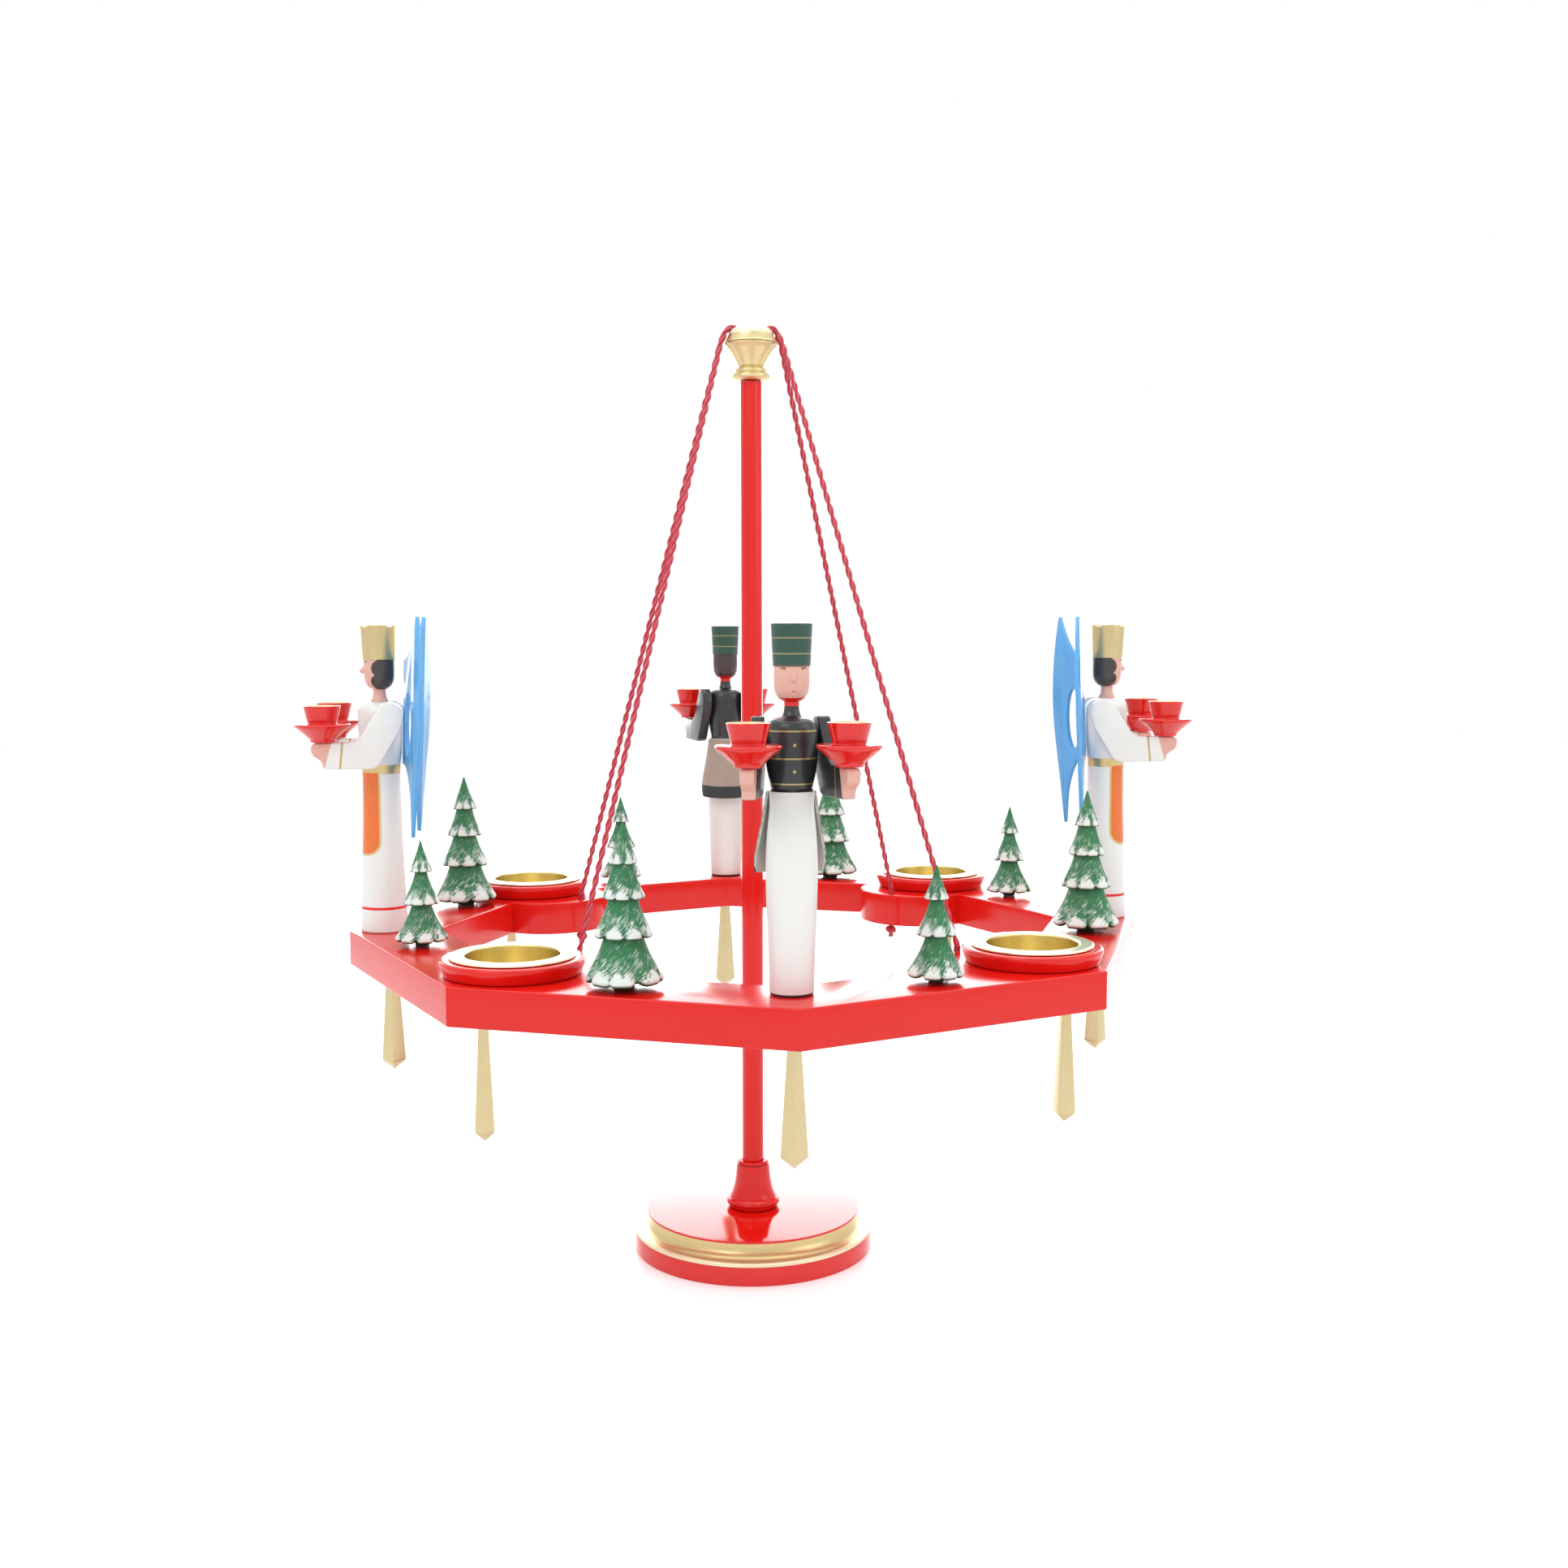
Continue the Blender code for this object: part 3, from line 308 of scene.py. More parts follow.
def pendant_paint():
    """Satin gold paint on wood, brushed along the drop."""
    paint = Paint("pendant_gold")
    where = paint.kept("local")
    stretched = paint.node("ShaderNodeVectorMath", {"operation": "MULTIPLY"},
                           {0: where, 1: (1.0, 1.0, 0.15)})
    lines = paint.noise(stretched, 900, 3, 0.6)
    cloud = paint.noise(where, 90, 2)
    colour = paint.mix(PENDANT_GOLD_DEEP, PENDANT_GOLD, 0.3 + 0.4 * lines + 0.35 * cloud)
    paint.bump(lines, STROKE, 0.5)
    return paint.finish(base_color=colour, metallic=0.86 + 0.1 * cloud,
                        roughness=0.3 * (0.75 + 0.5 * lines))


def base_paint():
    """Red band, gilded cove and red top plate of the base, told apart by height, with a painted
    highlight on the cove's lower roll.
    """
    paint = Paint("base_bands", coat_weight=0.15, coat_roughness=0.1)
    where = paint.place()
    height, radius, angle = paint.around(where)
    mottle = paint.noise(where, 26, 3)
    rings = paint.noise(paint.vector(radius, height, 0.02 * angle), 1500, 3)
    gilded = paint.between(height, 10.5 * MM, 20.75 * MM, 0.12 * MM)
    line = paint.between(height, 10.25 * MM, 10.6 * MM, 0.15 * MM)
    red = paint.mix(RED_DEEP, RED, 0.35 + 0.65 * mottle)
    gold = paint.mix(GOLD_DEEP, GOLD, 0.35 + 0.6 * rings)
    # Painted highlight: the cove's lower roll is painted pale and less metallic for the glare it
    # catches.
    roll = gilded * (1 - paint.above(height, 12.2 * MM, 1.4 * MM))
    colour = paint.mix(paint.mix(red, gold, gilded), DARK_LINE_AND_GROOVE_SHADE, 0.45 * line)
    colour = paint.mix(colour, ROLL_HIGHLIGHT_GOLD, 0.7 * roll)
    paint.bump(rings * gilded + 0.5 * mottle, 0.025 * MM, 0.4)
    return paint.finish(base_color=colour, metallic=0.84 * gilded - 0.5 * roll,
                        roughness=0.085 + 0.02 * mottle + (0.16 + 0.10 * rings) * gilded)


def finial_paint():
    """Satin gold with turning strokes; the dome above the cap's edge is painted paler and less metallic,
    a painted highlight for the light from above.
    """
    paint = Paint("finial_gold")
    where = paint.kept("local")
    height, radius, angle = paint.around(where)
    lines = paint.noise(paint.vector(9.0 * angle, 0.0, 40.0 * height), 3, 3, 0.6)
    rings = paint.noise(paint.vector(radius, height, 0.0), 700, 2)
    cloud = paint.noise(where, 90, 2)
    # Painted highlight: the dome, picked out by the mark, is painted pale for the light it reflects from
    # above.
    dome = paint.above(paint.split(paint.kept("mark"))[0], 0.5, 0.2)
    colour = paint.mix(FINIAL_GOLD_DEEP, FINIAL_GOLD, 0.4 + 0.3 * lines + 0.3 * cloud)
    colour = paint.mix(colour, DOME_HIGHLIGHT_GOLD, 0.75 * dome)
    paint.bump(rings, 0.01 * MM, 0.4)
    return paint.finish(base_color=colour, metallic=0.84 - 0.4 * dome,
                        roughness=0.25 + 0.16 * lines + 0.04 * rings)


def brass_paint():
    """Spun brass: fine rings round the bowl's own axis, and a painted highlight on the flange."""
    paint = Paint("spun_brass", metallic=1.0)
    where = paint.kept("local")
    height, radius, angle = paint.around(where)
    rings = paint.noise(paint.vector(radius, height, 0.004 * angle), 2600, 2)
    cloud = paint.noise(where, 120, 2)
    colour = paint.mix(BRASS_DEEP, BRASS, 0.25 + 0.5 * rings + 0.25 * cloud)
    # Painted highlight: the flange outside the opening is painted near white.
    rim = paint.above(radius, 23.4 * MM, 0.8 * MM) * paint.above(height, -0.3 * MM, 0.4 * MM)
    colour = paint.mix(colour, BRASS_RIM_HIGHLIGHT, rim)
    paint.bump(rings, 0.02 * MM, 0.5)
    return paint.finish(base_color=colour, roughness=0.2 + 0.14 * rings + 0.06 * cloud)


def brushed(paint, where):
    """Noise that follows upright brush strokes."""
    stretched = paint.node("ShaderNodeVectorMath", {"operation": "MULTIPLY"},
                           {0: where, 1: (3.0, 3.0, 0.35)})
    return paint.noise(stretched, 240, 3, 0.6)


def angel_body_paint():
    """White gown with a red line at the foot, an apron edged in gold, a gold belt, a bare neck.

    The apron is a rounded corner: the length of (out, down) past its centre, less its radius.
    """
    paint = Paint("angel_gown", coat_weight=0.1)
    where = paint.kept("local")
    height, _, angle = paint.around(where)
    stroke = brushed(paint, where)
    colour = paint.mix(WHITE_WARM, WHITE, stroke)
    width, foot, corner = 17.2 * MM, 42.0 * MM, 8.0 * MM
    out = angle * (10.6 * MM) - (width - corner)
    down = (foot + corner) - height
    zero_out = out.most(0)
    zero_down = down.most(0)
    edge = (zero_out * zero_out + zero_down * zero_down) ** 0.5 + out.most(down).least(0) - corner
    below_belt = 1 - paint.above(height, 87.2 * MM, 0.2 * MM)
    apron = (1 - paint.above(edge, 0, 0.15 * MM)) * below_belt
    field = (1 - paint.above(edge, -1.15 * MM, 0.15 * MM)) * below_belt
    belt = paint.between(height, 86.6 * MM, 91.4 * MM, 0.25 * MM)
    gilded = (apron - field + belt).most(0).least(1)
    colour = paint.mix(colour, paint.mix(GOLD_DEEP, GOLD, stroke), gilded)
    colour = paint.mix(colour, paint.mix(ORANGE_DEEP, ORANGE, stroke), field)
    red_line = paint.between(height, 12.4 * MM, 13.9 * MM, 0.2 * MM)
    colour = paint.mix(colour, RED, red_line)
    neck = paint.above(height, 125.4 * MM, 0.4 * MM)
    colour = paint.mix(colour, paint.mix(SKIN_DEEP, SKIN, stroke), neck)
    relief = stroke + 1.6 * (apron + red_line + belt)
    paint.bump(relief, STROKE, 0.45)
    return paint.finish(base_color=colour, metallic=0.75 * gilded, roughness=0.26 + 0.12 * stroke)


def miner_body_paint():
    """White trousers, dark foot line, black jacket with three braid lines, red collar."""
    paint = Paint("miner_dress", coat_weight=0.15)
    where = paint.kept("local")
    height, radius, angle = paint.around(where)
    stroke = brushed(paint, where)
    colour = paint.mix(WHITE_WARM, WHITE, stroke)
    foot = 1 - paint.above(height, 1.0 * MM, 0.2 * MM)
    jacket = paint.above(height, 92.2 * MM, 0.2 * MM)
    colour = paint.mix(colour, LEATHER_BLACK, foot)
    black = paint.mix(BLACK, BLACK_LIGHT, 0.6 * stroke)
    colour = paint.mix(colour, black, jacket)
    front = 1 - paint.above(angle, 1.15, 0.06)
    lines = 0.0
    for level in (95.8, 107.2, 119.4):
        lines = paint.between(height, (level - 0.35) * MM, (level + 0.35) * MM, 0.15 * MM) + lines
    lines = lines * front
    buttons = 0.0
    for level in (101.5, 113.3):
        far = ((angle * radius) ** 2 + (height - level * MM) ** 2) ** 0.5
        buttons = (1 - paint.above(far, 0.75 * MM, 0.2 * MM)) * front + buttons
    gilded = (lines + buttons).least(1)
    colour = paint.mix(colour, BRAID, gilded)
    collar = paint.above(height, 130.2 * MM, 0.2 * MM)
    colour = paint.mix(colour, RED, collar)
    relief = stroke + 2.0 * gilded + 1.5 * jacket
    paint.bump(relief, STROKE, 0.45)
    return paint.finish(base_color=colour, metallic=0.6 * gilded, roughness=0.24 + 0.12 * stroke)


def face(paint, height, angle, radius, stroke):
    """Skin with a rosy cheek, an eye close under the hat and a small mouth, mirrored about the nose."""
    arc = angle * radius
    colour = paint.mix(SKIN_DEEP, SKIN, 0.4 + 0.6 * stroke)

    def dab(across, level, half_width, half_height):
        """A soft oval of paint, its middle and half sizes in millimetres."""
        aside = (arc - across * MM) / (half_width * MM)
        up = (height - level * MM) / (half_height * MM)
        return 1 - paint.above(aside ** 2 + up ** 2, 1.0, 0.5)

    cheek = dab(5.8, 7.6, 2.3, 1.9)
    colour = paint.mix(colour, CHEEK, 0.1 * cheek)
    lid = dab(5.1, 14.9, 1.7, 0.34)
    pupil = dab(4.2, 14.4, 0.5, 0.45)
    colour = paint.mix(colour, HAIR, (0.85 * lid + 0.6 * pupil).least(1))
    mouth = dab(0.0, 4.6, 1.1, 0.36)
    return paint.mix(colour, MOUTH, 0.8 * mouth)


def angel_head_paint():
    """A doll's face, dark hair with a two-lobed front edge, and a gilded crown."""
    paint = Paint("angel_head", coat_weight=0.1)
    where = paint.kept("local")
    height, radius, angle = paint.around(where)
    stroke = brushed(paint, where)
    colour = face(paint, height, angle, radius, stroke)
    arc = angle * 8.3 * MM

    def lobe(across, level, size):
        """A round lobe of hair, in millimetres."""
        far = ((arc - across * MM) ** 2 + (height - level * MM) ** 2) ** 0.5
        return 1 - paint.above(far, size * MM, 0.25 * MM)

    hair = paint.above(arc, 12.8 * MM, 0.3 * MM).most(lobe(14.1, 11.3, 4.5)).most(lobe(12.9, 3.7, 4.1))
    locks = paint.noise(paint.vector(angle, 0.0, 60.0 * height), 9, 3)
    colour = paint.mix(colour, paint.mix(HAIR, HAIR_LIGHT, 0.5 * locks), hair)
    crown = paint.above(height, 16.05 * MM, 0.15 * MM)
    gilding = paint.mix(CROWN_GOLD_DEEP, CROWN_GOLD, 0.3 + 0.6 * stroke)
    colour = paint.mix(colour, gilding, crown)
    paint.bump(stroke + 1.5 * hair + 1.5 * crown, STROKE, 0.45)
    return paint.finish(base_color=colour, metallic=0.88 * crown,
                        roughness=0.26 + 0.12 * stroke + 0.04 * crown)


def miner_head_paint():
    """A doll's face, hair behind, and a dark green hat with two thin lines."""
    paint = Paint("miner_head", coat_weight=0.15)
    where = paint.kept("local")
    height, radius, angle = paint.around(where)
    stroke = brushed(paint, where)
    colour = face(paint, height, angle, radius, stroke)
    hair = paint.above(angle, 1.75, 0.05) * paint.above(height, 1.2 * MM, 0.3 * MM)
    locks = paint.noise(paint.vector(angle, 0.0, 60.0 * height), 9, 3)
    colour = paint.mix(colour, paint.mix(MINER_HAIR, MINER_HAIR_LIGHT, 0.6 * locks), hair)
    colour = paint.mix(colour, RED, 1 - paint.above(height, 1.6 * MM, 0.2 * MM))
    hat = paint.above(height, 16.05 * MM, 0.15 * MM)
    green = paint.mix(HAT_GREEN_DEEP, HAT_GREEN, stroke)
    lines = paint.between(height, 20.9 * MM, 21.6 * MM, 0.2 * MM)
    lines = lines + paint.between(height, 27.9 * MM, 28.6 * MM, 0.2 * MM)
    green = paint.mix(green, BRAID, 0.6 * lines)
    colour = paint.mix(colour, green, hat)
    colour = paint.mix(colour, HAIR, 0.8 * paint.between(height, 15.45 * MM, 16.0 * MM, 0.15 * MM))
    paint.bump(stroke + 1.5 * hair + 1.5 * hat, STROKE, 0.45)
    return paint.finish(base_color=colour, roughness=0.24 + 0.12 * stroke)


def sleeve_paint(name, cloth, cloth_light, cuff):
    """Sawn arm: sleeve, cuff line and bare hand beyond a slanted sleeve end."""
    paint = Paint(name, coat_weight=0.1)
    where = paint.kept("local")
    along, height, across = paint.split(where)
    grain = paint.noise(paint.vector(120.0 * along, 900.0 * height, 900.0 * across), 1.0, 3)
    slant = 27.7 * MM + (FOREARM_TOP - height) * 0.27
    hand = paint.above(along - slant, 0, 0.25 * MM)
    line = paint.between(along + 0.10 * (height - 97.3 * MM), 22.2 * MM, 23.3 * MM, 0.2 * MM)
    colour = paint.mix(cloth, cloth_light, grain)
    colour = paint.mix(colour, cuff, line)
    colour = paint.mix(colour, paint.mix(SKIN_DEEP, SKIN, grain), hand)
    paint.bump(grain + 1.2 * line, 0.04 * MM, 0.4)
    return paint.finish(base_color=colour, metallic=0.6 * line, roughness=0.24 + 0.12 * grain)


def cup_paint():
    """Gloss red outside, pale gold inside the cup."""
    paint = Paint("cup_red", coat_weight=0.3, coat_roughness=0.04)
    where = paint.kept("local")
    inside = paint.above(paint.split(paint.kept("mark"))[0], 0.5, 0.2)
    stroke = brushed(paint, where)
    colour = paint.mix(paint.mix(RED_DEEP, RED, stroke), paint.mix(GOLD, CREAM, stroke), inside)
    paint.bump(stroke, 0.03 * MM, 0.4)
    return paint.finish(base_color=colour, metallic=0.35 * inside,
                        roughness=0.14 + 0.06 * stroke + 0.2 * inside)


def wing_paint():
    """Sky blue gloss on thin board, with a painted highlight, paler in long soft strokes towards the
    tips.
    """
    paint = Paint("wing_blue", coat_weight=0.3, coat_roughness=0.05)
    where = paint.kept("local")
    x, height, across = paint.split(where)
    stroke = paint.noise(paint.vector(260.0 * x, 40.0 * height, 100.0 * across), 1.0, 3)
    highlight_cloud = paint.noise(paint.vector(40.0 * x, 22.0 * height, 0.0), 1.0, 1)
    # Painted highlight: paler blue in soft clouds and strokes, for the gloss reflections.
    colour = paint.mix(BLUE, BLUE_HIGHLIGHT, (0.15 + 0.5 * highlight_cloud * stroke + 0.2 * highlight_cloud))
    paint.bump(stroke, STROKE, 0.4)
    return paint.finish(base_color=colour, roughness=0.16 + 0.12 * stroke)


def leather_paint():
    """Seat leather: tan field with a black hem outside; inside, the pale flesh side, painted lighter
    still as painted light where it lies in shade.
    """
    paint = Paint("seat_leather", specular_ior_level=0.4)
    where = paint.kept("local")
    _, fall, side = paint.split(paint.kept("mark"))
    grain = paint.node("ShaderNodeTexVoronoi", {"feature": "F1"}, {"Vector": where, "Scale": 1500.0})
    cloud = paint.noise(where, 160, 3)
    hem = paint.above(fall, 0.80, 0.02)
    tan = paint.mix(LEATHER_TAN, LEATHER_TAN_DEEP, cloud)
    outside = paint.mix(tan, LEATHER_BLACK, hem)
    # Partly the flesh side's own colour, partly painted light: the inside is painted brighter than its
    # shade would show.
    inside = paint.mix(LEATHER_INSIDE_PAINTED_LIGHT, LEATHER_INSIDE_PAINTED_LIGHT_DEEP, cloud)
    colour = paint.mix(inside, outside, paint.above(side, 0.5, 0.4))
    paint.bump(grain + cloud, 0.06 * MM, 0.6)
    return paint.finish(base_color=colour, roughness=0.42 + 0.2 * cloud)


def tree_paint():
    """Slanting brush strokes over green tiers; snow on each lobe, pointed upwards, and a lip without
    snow with painted shade beneath each tier.

    The marks are the fall down a tier, the share across a lobe, and the height of its snow.
    """
    paint = Paint("tree_paint", specular_ior_level=0.3)
    where = paint.kept("local")
    x, y, height = paint.split(where)
    fall, across_lobe, peak = paint.split(paint.kept("mark"))
    arc = paint.node("ShaderNodeMath", {"operation": "ARCTAN2"}, {0: y, 1: x}) * (12 * MM)
    across, along = (arc - height) * 1100.0, (arc + height) * 150.0
    stroke = paint.noise(paint.vector(across, along, 0.0), 1.0, 3, 0.65)
    fleck = paint.noise(where, 800, 2, 0.6)
    patch = paint.noise(where, 260, 2)
    green = paint.mix(TREE_DARK, TREE_GREEN, (0.2 + 0.75 * stroke + 0.3 * patch).least(1))
    lift = (fall - peak) / (1.02 - peak) - 0.62 * across_lobe * across_lobe
    snow = lift + 1.5 * (stroke - 0.5) + 1.1 * (patch - 0.5) + 0.3 * (fleck - 0.5)
    thick = paint.above(snow, 0.50, 0.34) * paint.above(fall, 0.30, 0.3)
    thin = paint.above(stroke + 0.5 * (patch - 0.5) + 0.22 * fall, 0.69, 0.12)
    lip = paint.above(fall, 1.035, 0.05)
    snow = (thick.most(0.5 * thin)) * (1 - lip)
    colour = paint.mix(green, SNOW, 0.92 * snow)
    # Painted shade: the underside of each tier, below its rim, is painted dark.
    colour = paint.mix(colour, TREE_UNDERSIDE_SHADE, paint.above(fall, 1.06, 0.1))
    paint.bump(stroke + 0.8 * fleck + 1.2 * snow, 0.2 * MM, 0.6)
    return paint.finish(base_color=colour, roughness=0.45 + 0.2 * fleck)


def cord_paint():
    """Silky strands: fine threads run along each, with a painted highlight, paler, where neighbouring
    strands meet.
    """
    paint = Paint("cord_silk", sheen_weight=0.3, sheen_roughness=0.4)
    along, around, outward = paint.split(paint.kept("mark"))
    threads = (along * 1500.0 + around * 9.0).sine() * 0.5 + 0.5
    fuzz = paint.noise(paint.kept("local"), 1400, 2)
    colour = paint.mix(CORD_DEEP, CORD_RED, (0.25 + 0.6 * threads + 0.3 * fuzz).least(1))
    # Painted highlight: pale where the strands meet, for the sheen at their edges.
    meeting_highlight = (1 - paint.above(outward, 0.95 * MM, 0.5 * MM)) * (0.55 + 0.45 * fuzz)
    colour = paint.mix(colour, CORD_HIGHLIGHT, 0.75 * meeting_highlight)
    paint.bump(threads + 0.4 * fuzz, 0.07 * MM, 0.7)
    return paint.finish(base_color=colour, roughness=0.4 + 0.14 * fuzz)


# Surfaces


def along_curve(points, per_span=8):
    """Catmull-Rom curve: half of 2P + (Q-O)t + (2O-5P+4Q-R)t^2 + (3P-O-3Q+R)t^3 on each span."""
    p = np.asarray(points, float)
    p = np.vstack([2 * p[0] - p[1], p, 2 * p[-1] - p[-2]])
    o, a, b, c = (p[i:len(p) - 3 + i, None] for i in range(4))
    t = np.linspace(0, 1, per_span, endpoint=False)[None, :, None]
    spans = 0.5 * (2 * a + (b - o) * t + (2 * o - 5 * a + 4 * b - c) * t ** 2
                   + (3 * a - o - 3 * b + c) * t ** 3)
    return np.vstack([spans.reshape(-1, p.shape[1]), p[-2]])


def eased(outline, size, steps=4, closed=False):
    """Each corner P becomes the arc A(1-t)^2 + 2Pt(1-t) + Bt^2, with A and B on its two sides."""
    p = np.asarray(outline, float)
    before, after = np.roll(p, 1, axis=0), np.roll(p, -1, axis=0)
    to_before = np.linalg.norm(before - p, axis=1, keepdims=True)
    to_after = np.linalg.norm(after - p, axis=1, keepdims=True)
    cut = np.minimum(np.minimum(size, 0.45 * to_before), 0.45 * to_after)
    first = (p + (before - p) / to_before * cut)[:, None]
    last = (p + (after - p) / to_after * cut)[:, None]
    t = np.linspace(0, 1, steps + 1)[None, :, None]
    arcs = first * (1 - t) ** 2 + 2 * p[:, None] * t * (1 - t) + last * t ** 2
    if closed:
        return arcs.reshape(-1, p.shape[1])
    return np.vstack([p[0], arcs[1:-1].reshape(-1, p.shape[1]), p[-1]])


def turned(profile, columns=96):
    """Surface of revolution: the point (radius cos u, radius sin u, height) of each profile point."""
    profile = np.asarray(profile, float)
    u = np.linspace(0, FULL, columns, endpoint=False)
    radius, height = profile[:, :1], profile[:, 1:2]
    return np.stack([radius * np.cos(u), radius * np.sin(u), height + 0 * u], axis=-1)


def inset(outline, distance):
    """A closed outline of complex numbers moved to its left by the distance, mitred at corners."""
    side = np.roll(outline, -1) - outline
    normal = 1j * side / np.abs(side)
    other = np.roll(normal, 1)
    return outline + distance * (normal + other) / (1 + (normal * np.conj(other)).real)


def edge_arc(edge, steps=4):
    """(into the board, down from its face) along a quarter round, face first."""
    a = np.linspace(0, math.pi / 2, steps + 1)
    return np.stack([edge * (1 - np.sin(a)), edge * (1 - np.cos(a))], axis=-1)


def plate(outline, thickness, edge, steps=3):
    """A board: rows of the outline, stepped inwards along a quarter round at both faces."""
    outline = np.asarray(outline, float)
    loop = outline[:, 0] + 1j * outline[:, 1]
    if (np.roll(loop, -1).imag * loop.real - np.roll(loop, -1).real * loop.imag).sum() < 0:
        loop = loop[::-1]
    arc = edge_arc(edge, steps)
    rows = [(inset(loop, into), thickness / 2 - down) for into, down in arc]
    rows += [(inset(loop, into), down - thickness / 2) for into, down in arc[::-1]]
    return np.stack([np.stack([row.real, row.imag, level + 0 * row.real], axis=-1)
                     for row, level in rows])


def grid(points, marks=None, wrap_rows=False, wrap_columns=True, caps=False):
    """Rows of points, with what make_mesh has to know to join them."""
    points = np.asarray(points, float)
    if marks is None:
        marks = np.zeros(points.shape)
    return points, np.broadcast_to(marks, points.shape), wrap_rows, wrap_columns, caps


def quads(rows, columns, wrap_rows, wrap_columns):
    """Corner numbers of the faces between neighbouring rows and columns."""
    r, c = np.meshgrid(np.arange(rows - 1 + wrap_rows), np.arange(columns - 1 + wrap_columns),
                       indexing="ij")
    down, on = (r + 1) % rows, (c + 1) % columns
    corners = (r * columns + c, r * columns + on, down * columns + on, down * columns + c)
    return np.stack(corners, axis=-1).reshape(-1, 4)


def spot(radius=0.0, angle=0.0, height=0.0):
    """A place on the wreath whose +X points outwards."""
    move = Matrix.Translation((radius * math.cos(angle), radius * math.sin(angle), height))
    return move @ Matrix.Rotation(angle, 4, "Z")


def make_mesh(name, grids, sharp_deg):
    """One welded mesh with outward faces from several grids."""
    start = 0
    faces, points, marks = [], [], []
    for where, mark, wrap_rows, wrap_columns, caps in grids:
        rows, columns = where.shape[:2]
        faces += (quads(rows, columns, wrap_rows, wrap_columns) + start).tolist()
        if caps:
            ring = np.arange(columns)
            faces.append((start + ring[::-1]).tolist())
            faces.append((start + (rows - 1) * columns + ring).tolist())
        points.append(where.reshape(-1, 3))
        marks.append(mark.reshape(-1, 3))
        start += rows * columns
    mesh = bpy.data.meshes.new(name)
    points = np.vstack(points)
    mesh.from_pydata(points.tolist(), [], faces)
    for key, values in (("local", points), ("mark", np.vstack(marks))):
        layer = mesh.attributes.new(key, "FLOAT_VECTOR", "POINT")
        layer.data.foreach_set("vector", values.astype(np.float32).ravel())
    work = bmesh.new()
    work.from_mesh(mesh)
    bmesh.ops.remove_doubles(work, verts=work.verts, dist=WELD)
    bmesh.ops.recalc_face_normals(work, faces=work.faces)
    work.to_mesh(mesh)
    work.free()
    mesh.shade_smooth()
    mesh.set_sharp_from_angle(angle=math.radians(sharp_deg))
    return mesh


def piece(name, grids, finish, body, nodes, where=None, sharp_deg=35):
    """Make, place and paint one piece, attach it to its body, and hide the CAD nodes that it stands for.
    """
    mesh = make_mesh(name, grids, sharp_deg)
    if where is not None:
        mesh.transform(where)
    thing = bpy.data.objects.new(name, mesh)
    bpy.context.scene.collection.objects.link(thing)
    mesh.materials.append(finish)
    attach(thing, body)
    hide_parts(*nodes)
    return thing


def settled(thing, sharp_deg=35):
    """Turn a piece's modifiers into plain mesh."""
    bpy.context.view_layer.update()
    mesh = bpy.data.meshes.new_from_object(thing.evaluated_get(bpy.context.evaluated_depsgraph_get()))
    thing.modifiers.clear()
    mesh.name = thing.name
    thing.data = mesh
    mesh.set_sharp_from_angle(angle=math.radians(sharp_deg))


def cut(thing, tool_grids, sharp_deg=35):
    """Take a tool's closed grids away from a piece with an exact Boolean."""
    tool = bpy.data.objects.new("tool", make_mesh("tool", tool_grids, sharp_deg))
    bpy.context.scene.collection.objects.link(tool)
    change = thing.modifiers.new("Cut", "BOOLEAN")
    change.operation = "DIFFERENCE"
    change.solver = "EXACT"
    change.object = tool
    settled(thing, sharp_deg)
    bpy.data.objects.remove(tool, do_unlink=True)


# Stand


def make_stand():
    """Base, collar and post, each a profile (radius, height) in millimetres turned about Z."""
    red = lacquer("red_gloss", 0.2)
    # The collar's upper dark line lies in the lip's groove: painted shade there.
    collar_red = lacquer("collar_red", 0.14,
                         ((BASE_TOP + 24.9 * MM, 0.45 * MM), (BASE_TOP + 3.1 * MM, 0.3 * MM)))
    cove = along_curve([(58.4, 20.6), (58.5, 18.6), (59.3, 16.0), (60.9, 13.9), (63.0, 12.7),
                        (65.0, 12.2), (66.4, 11.7), (67.15, 10.9), (67.3, 10.2)], 6)
    top = eased([(0, 22.0), (60.4, 22.0), (60.4, 20.8), (58.4, 20.8), (58.4, 20.6)], 0.35)[:-1]
    band = eased([(67.3, 10.2), (67.3, 0.0), (0, 0.0)], 0.7)
    piece("base_turning", [grid(turned(np.vstack([top, cove, band[1:]]) * MM, 192))],
          base_paint(), "stand", ["base_disc"])
    flare = along_curve([(9.4, 23.2), (9.7, 19.6), (10.5, 13.2), (12.6, 6.6), (14.5, 4.7)], 6)
    lip = eased([(6.3, 26.4), (8.2, 26.4), (8.9, 25.6), (8.9, 25.1), (8.55, 24.9), (8.95, 24.6)], 0.35)
    bead = eased([(14.5, 4.7), (14.6, 4.3), (15.2, 3.6), (15.1, 2.5), (14.5, 1.7), (13.7, 0), (6.3, 0)],
                 0.5)
    profile = np.vstack([lip, flare, bead[1:]])
    profile[:, 1] += 22.3
    piece("collar_turning", [grid(turned(profile * MM, 96), wrap_rows=True)],
          collar_red, "stand", ["foot_collar"])
    rod = eased([(0, 510.6), (2.5, 510.6), (2.5, 486.0), (6.0, 486.0), (6.0, 8.3), (0, 8.3)], 0.7)
    piece("post_rod", [grid(turned(rod * MM, 64))], red, "stand", ["post"])
    return red


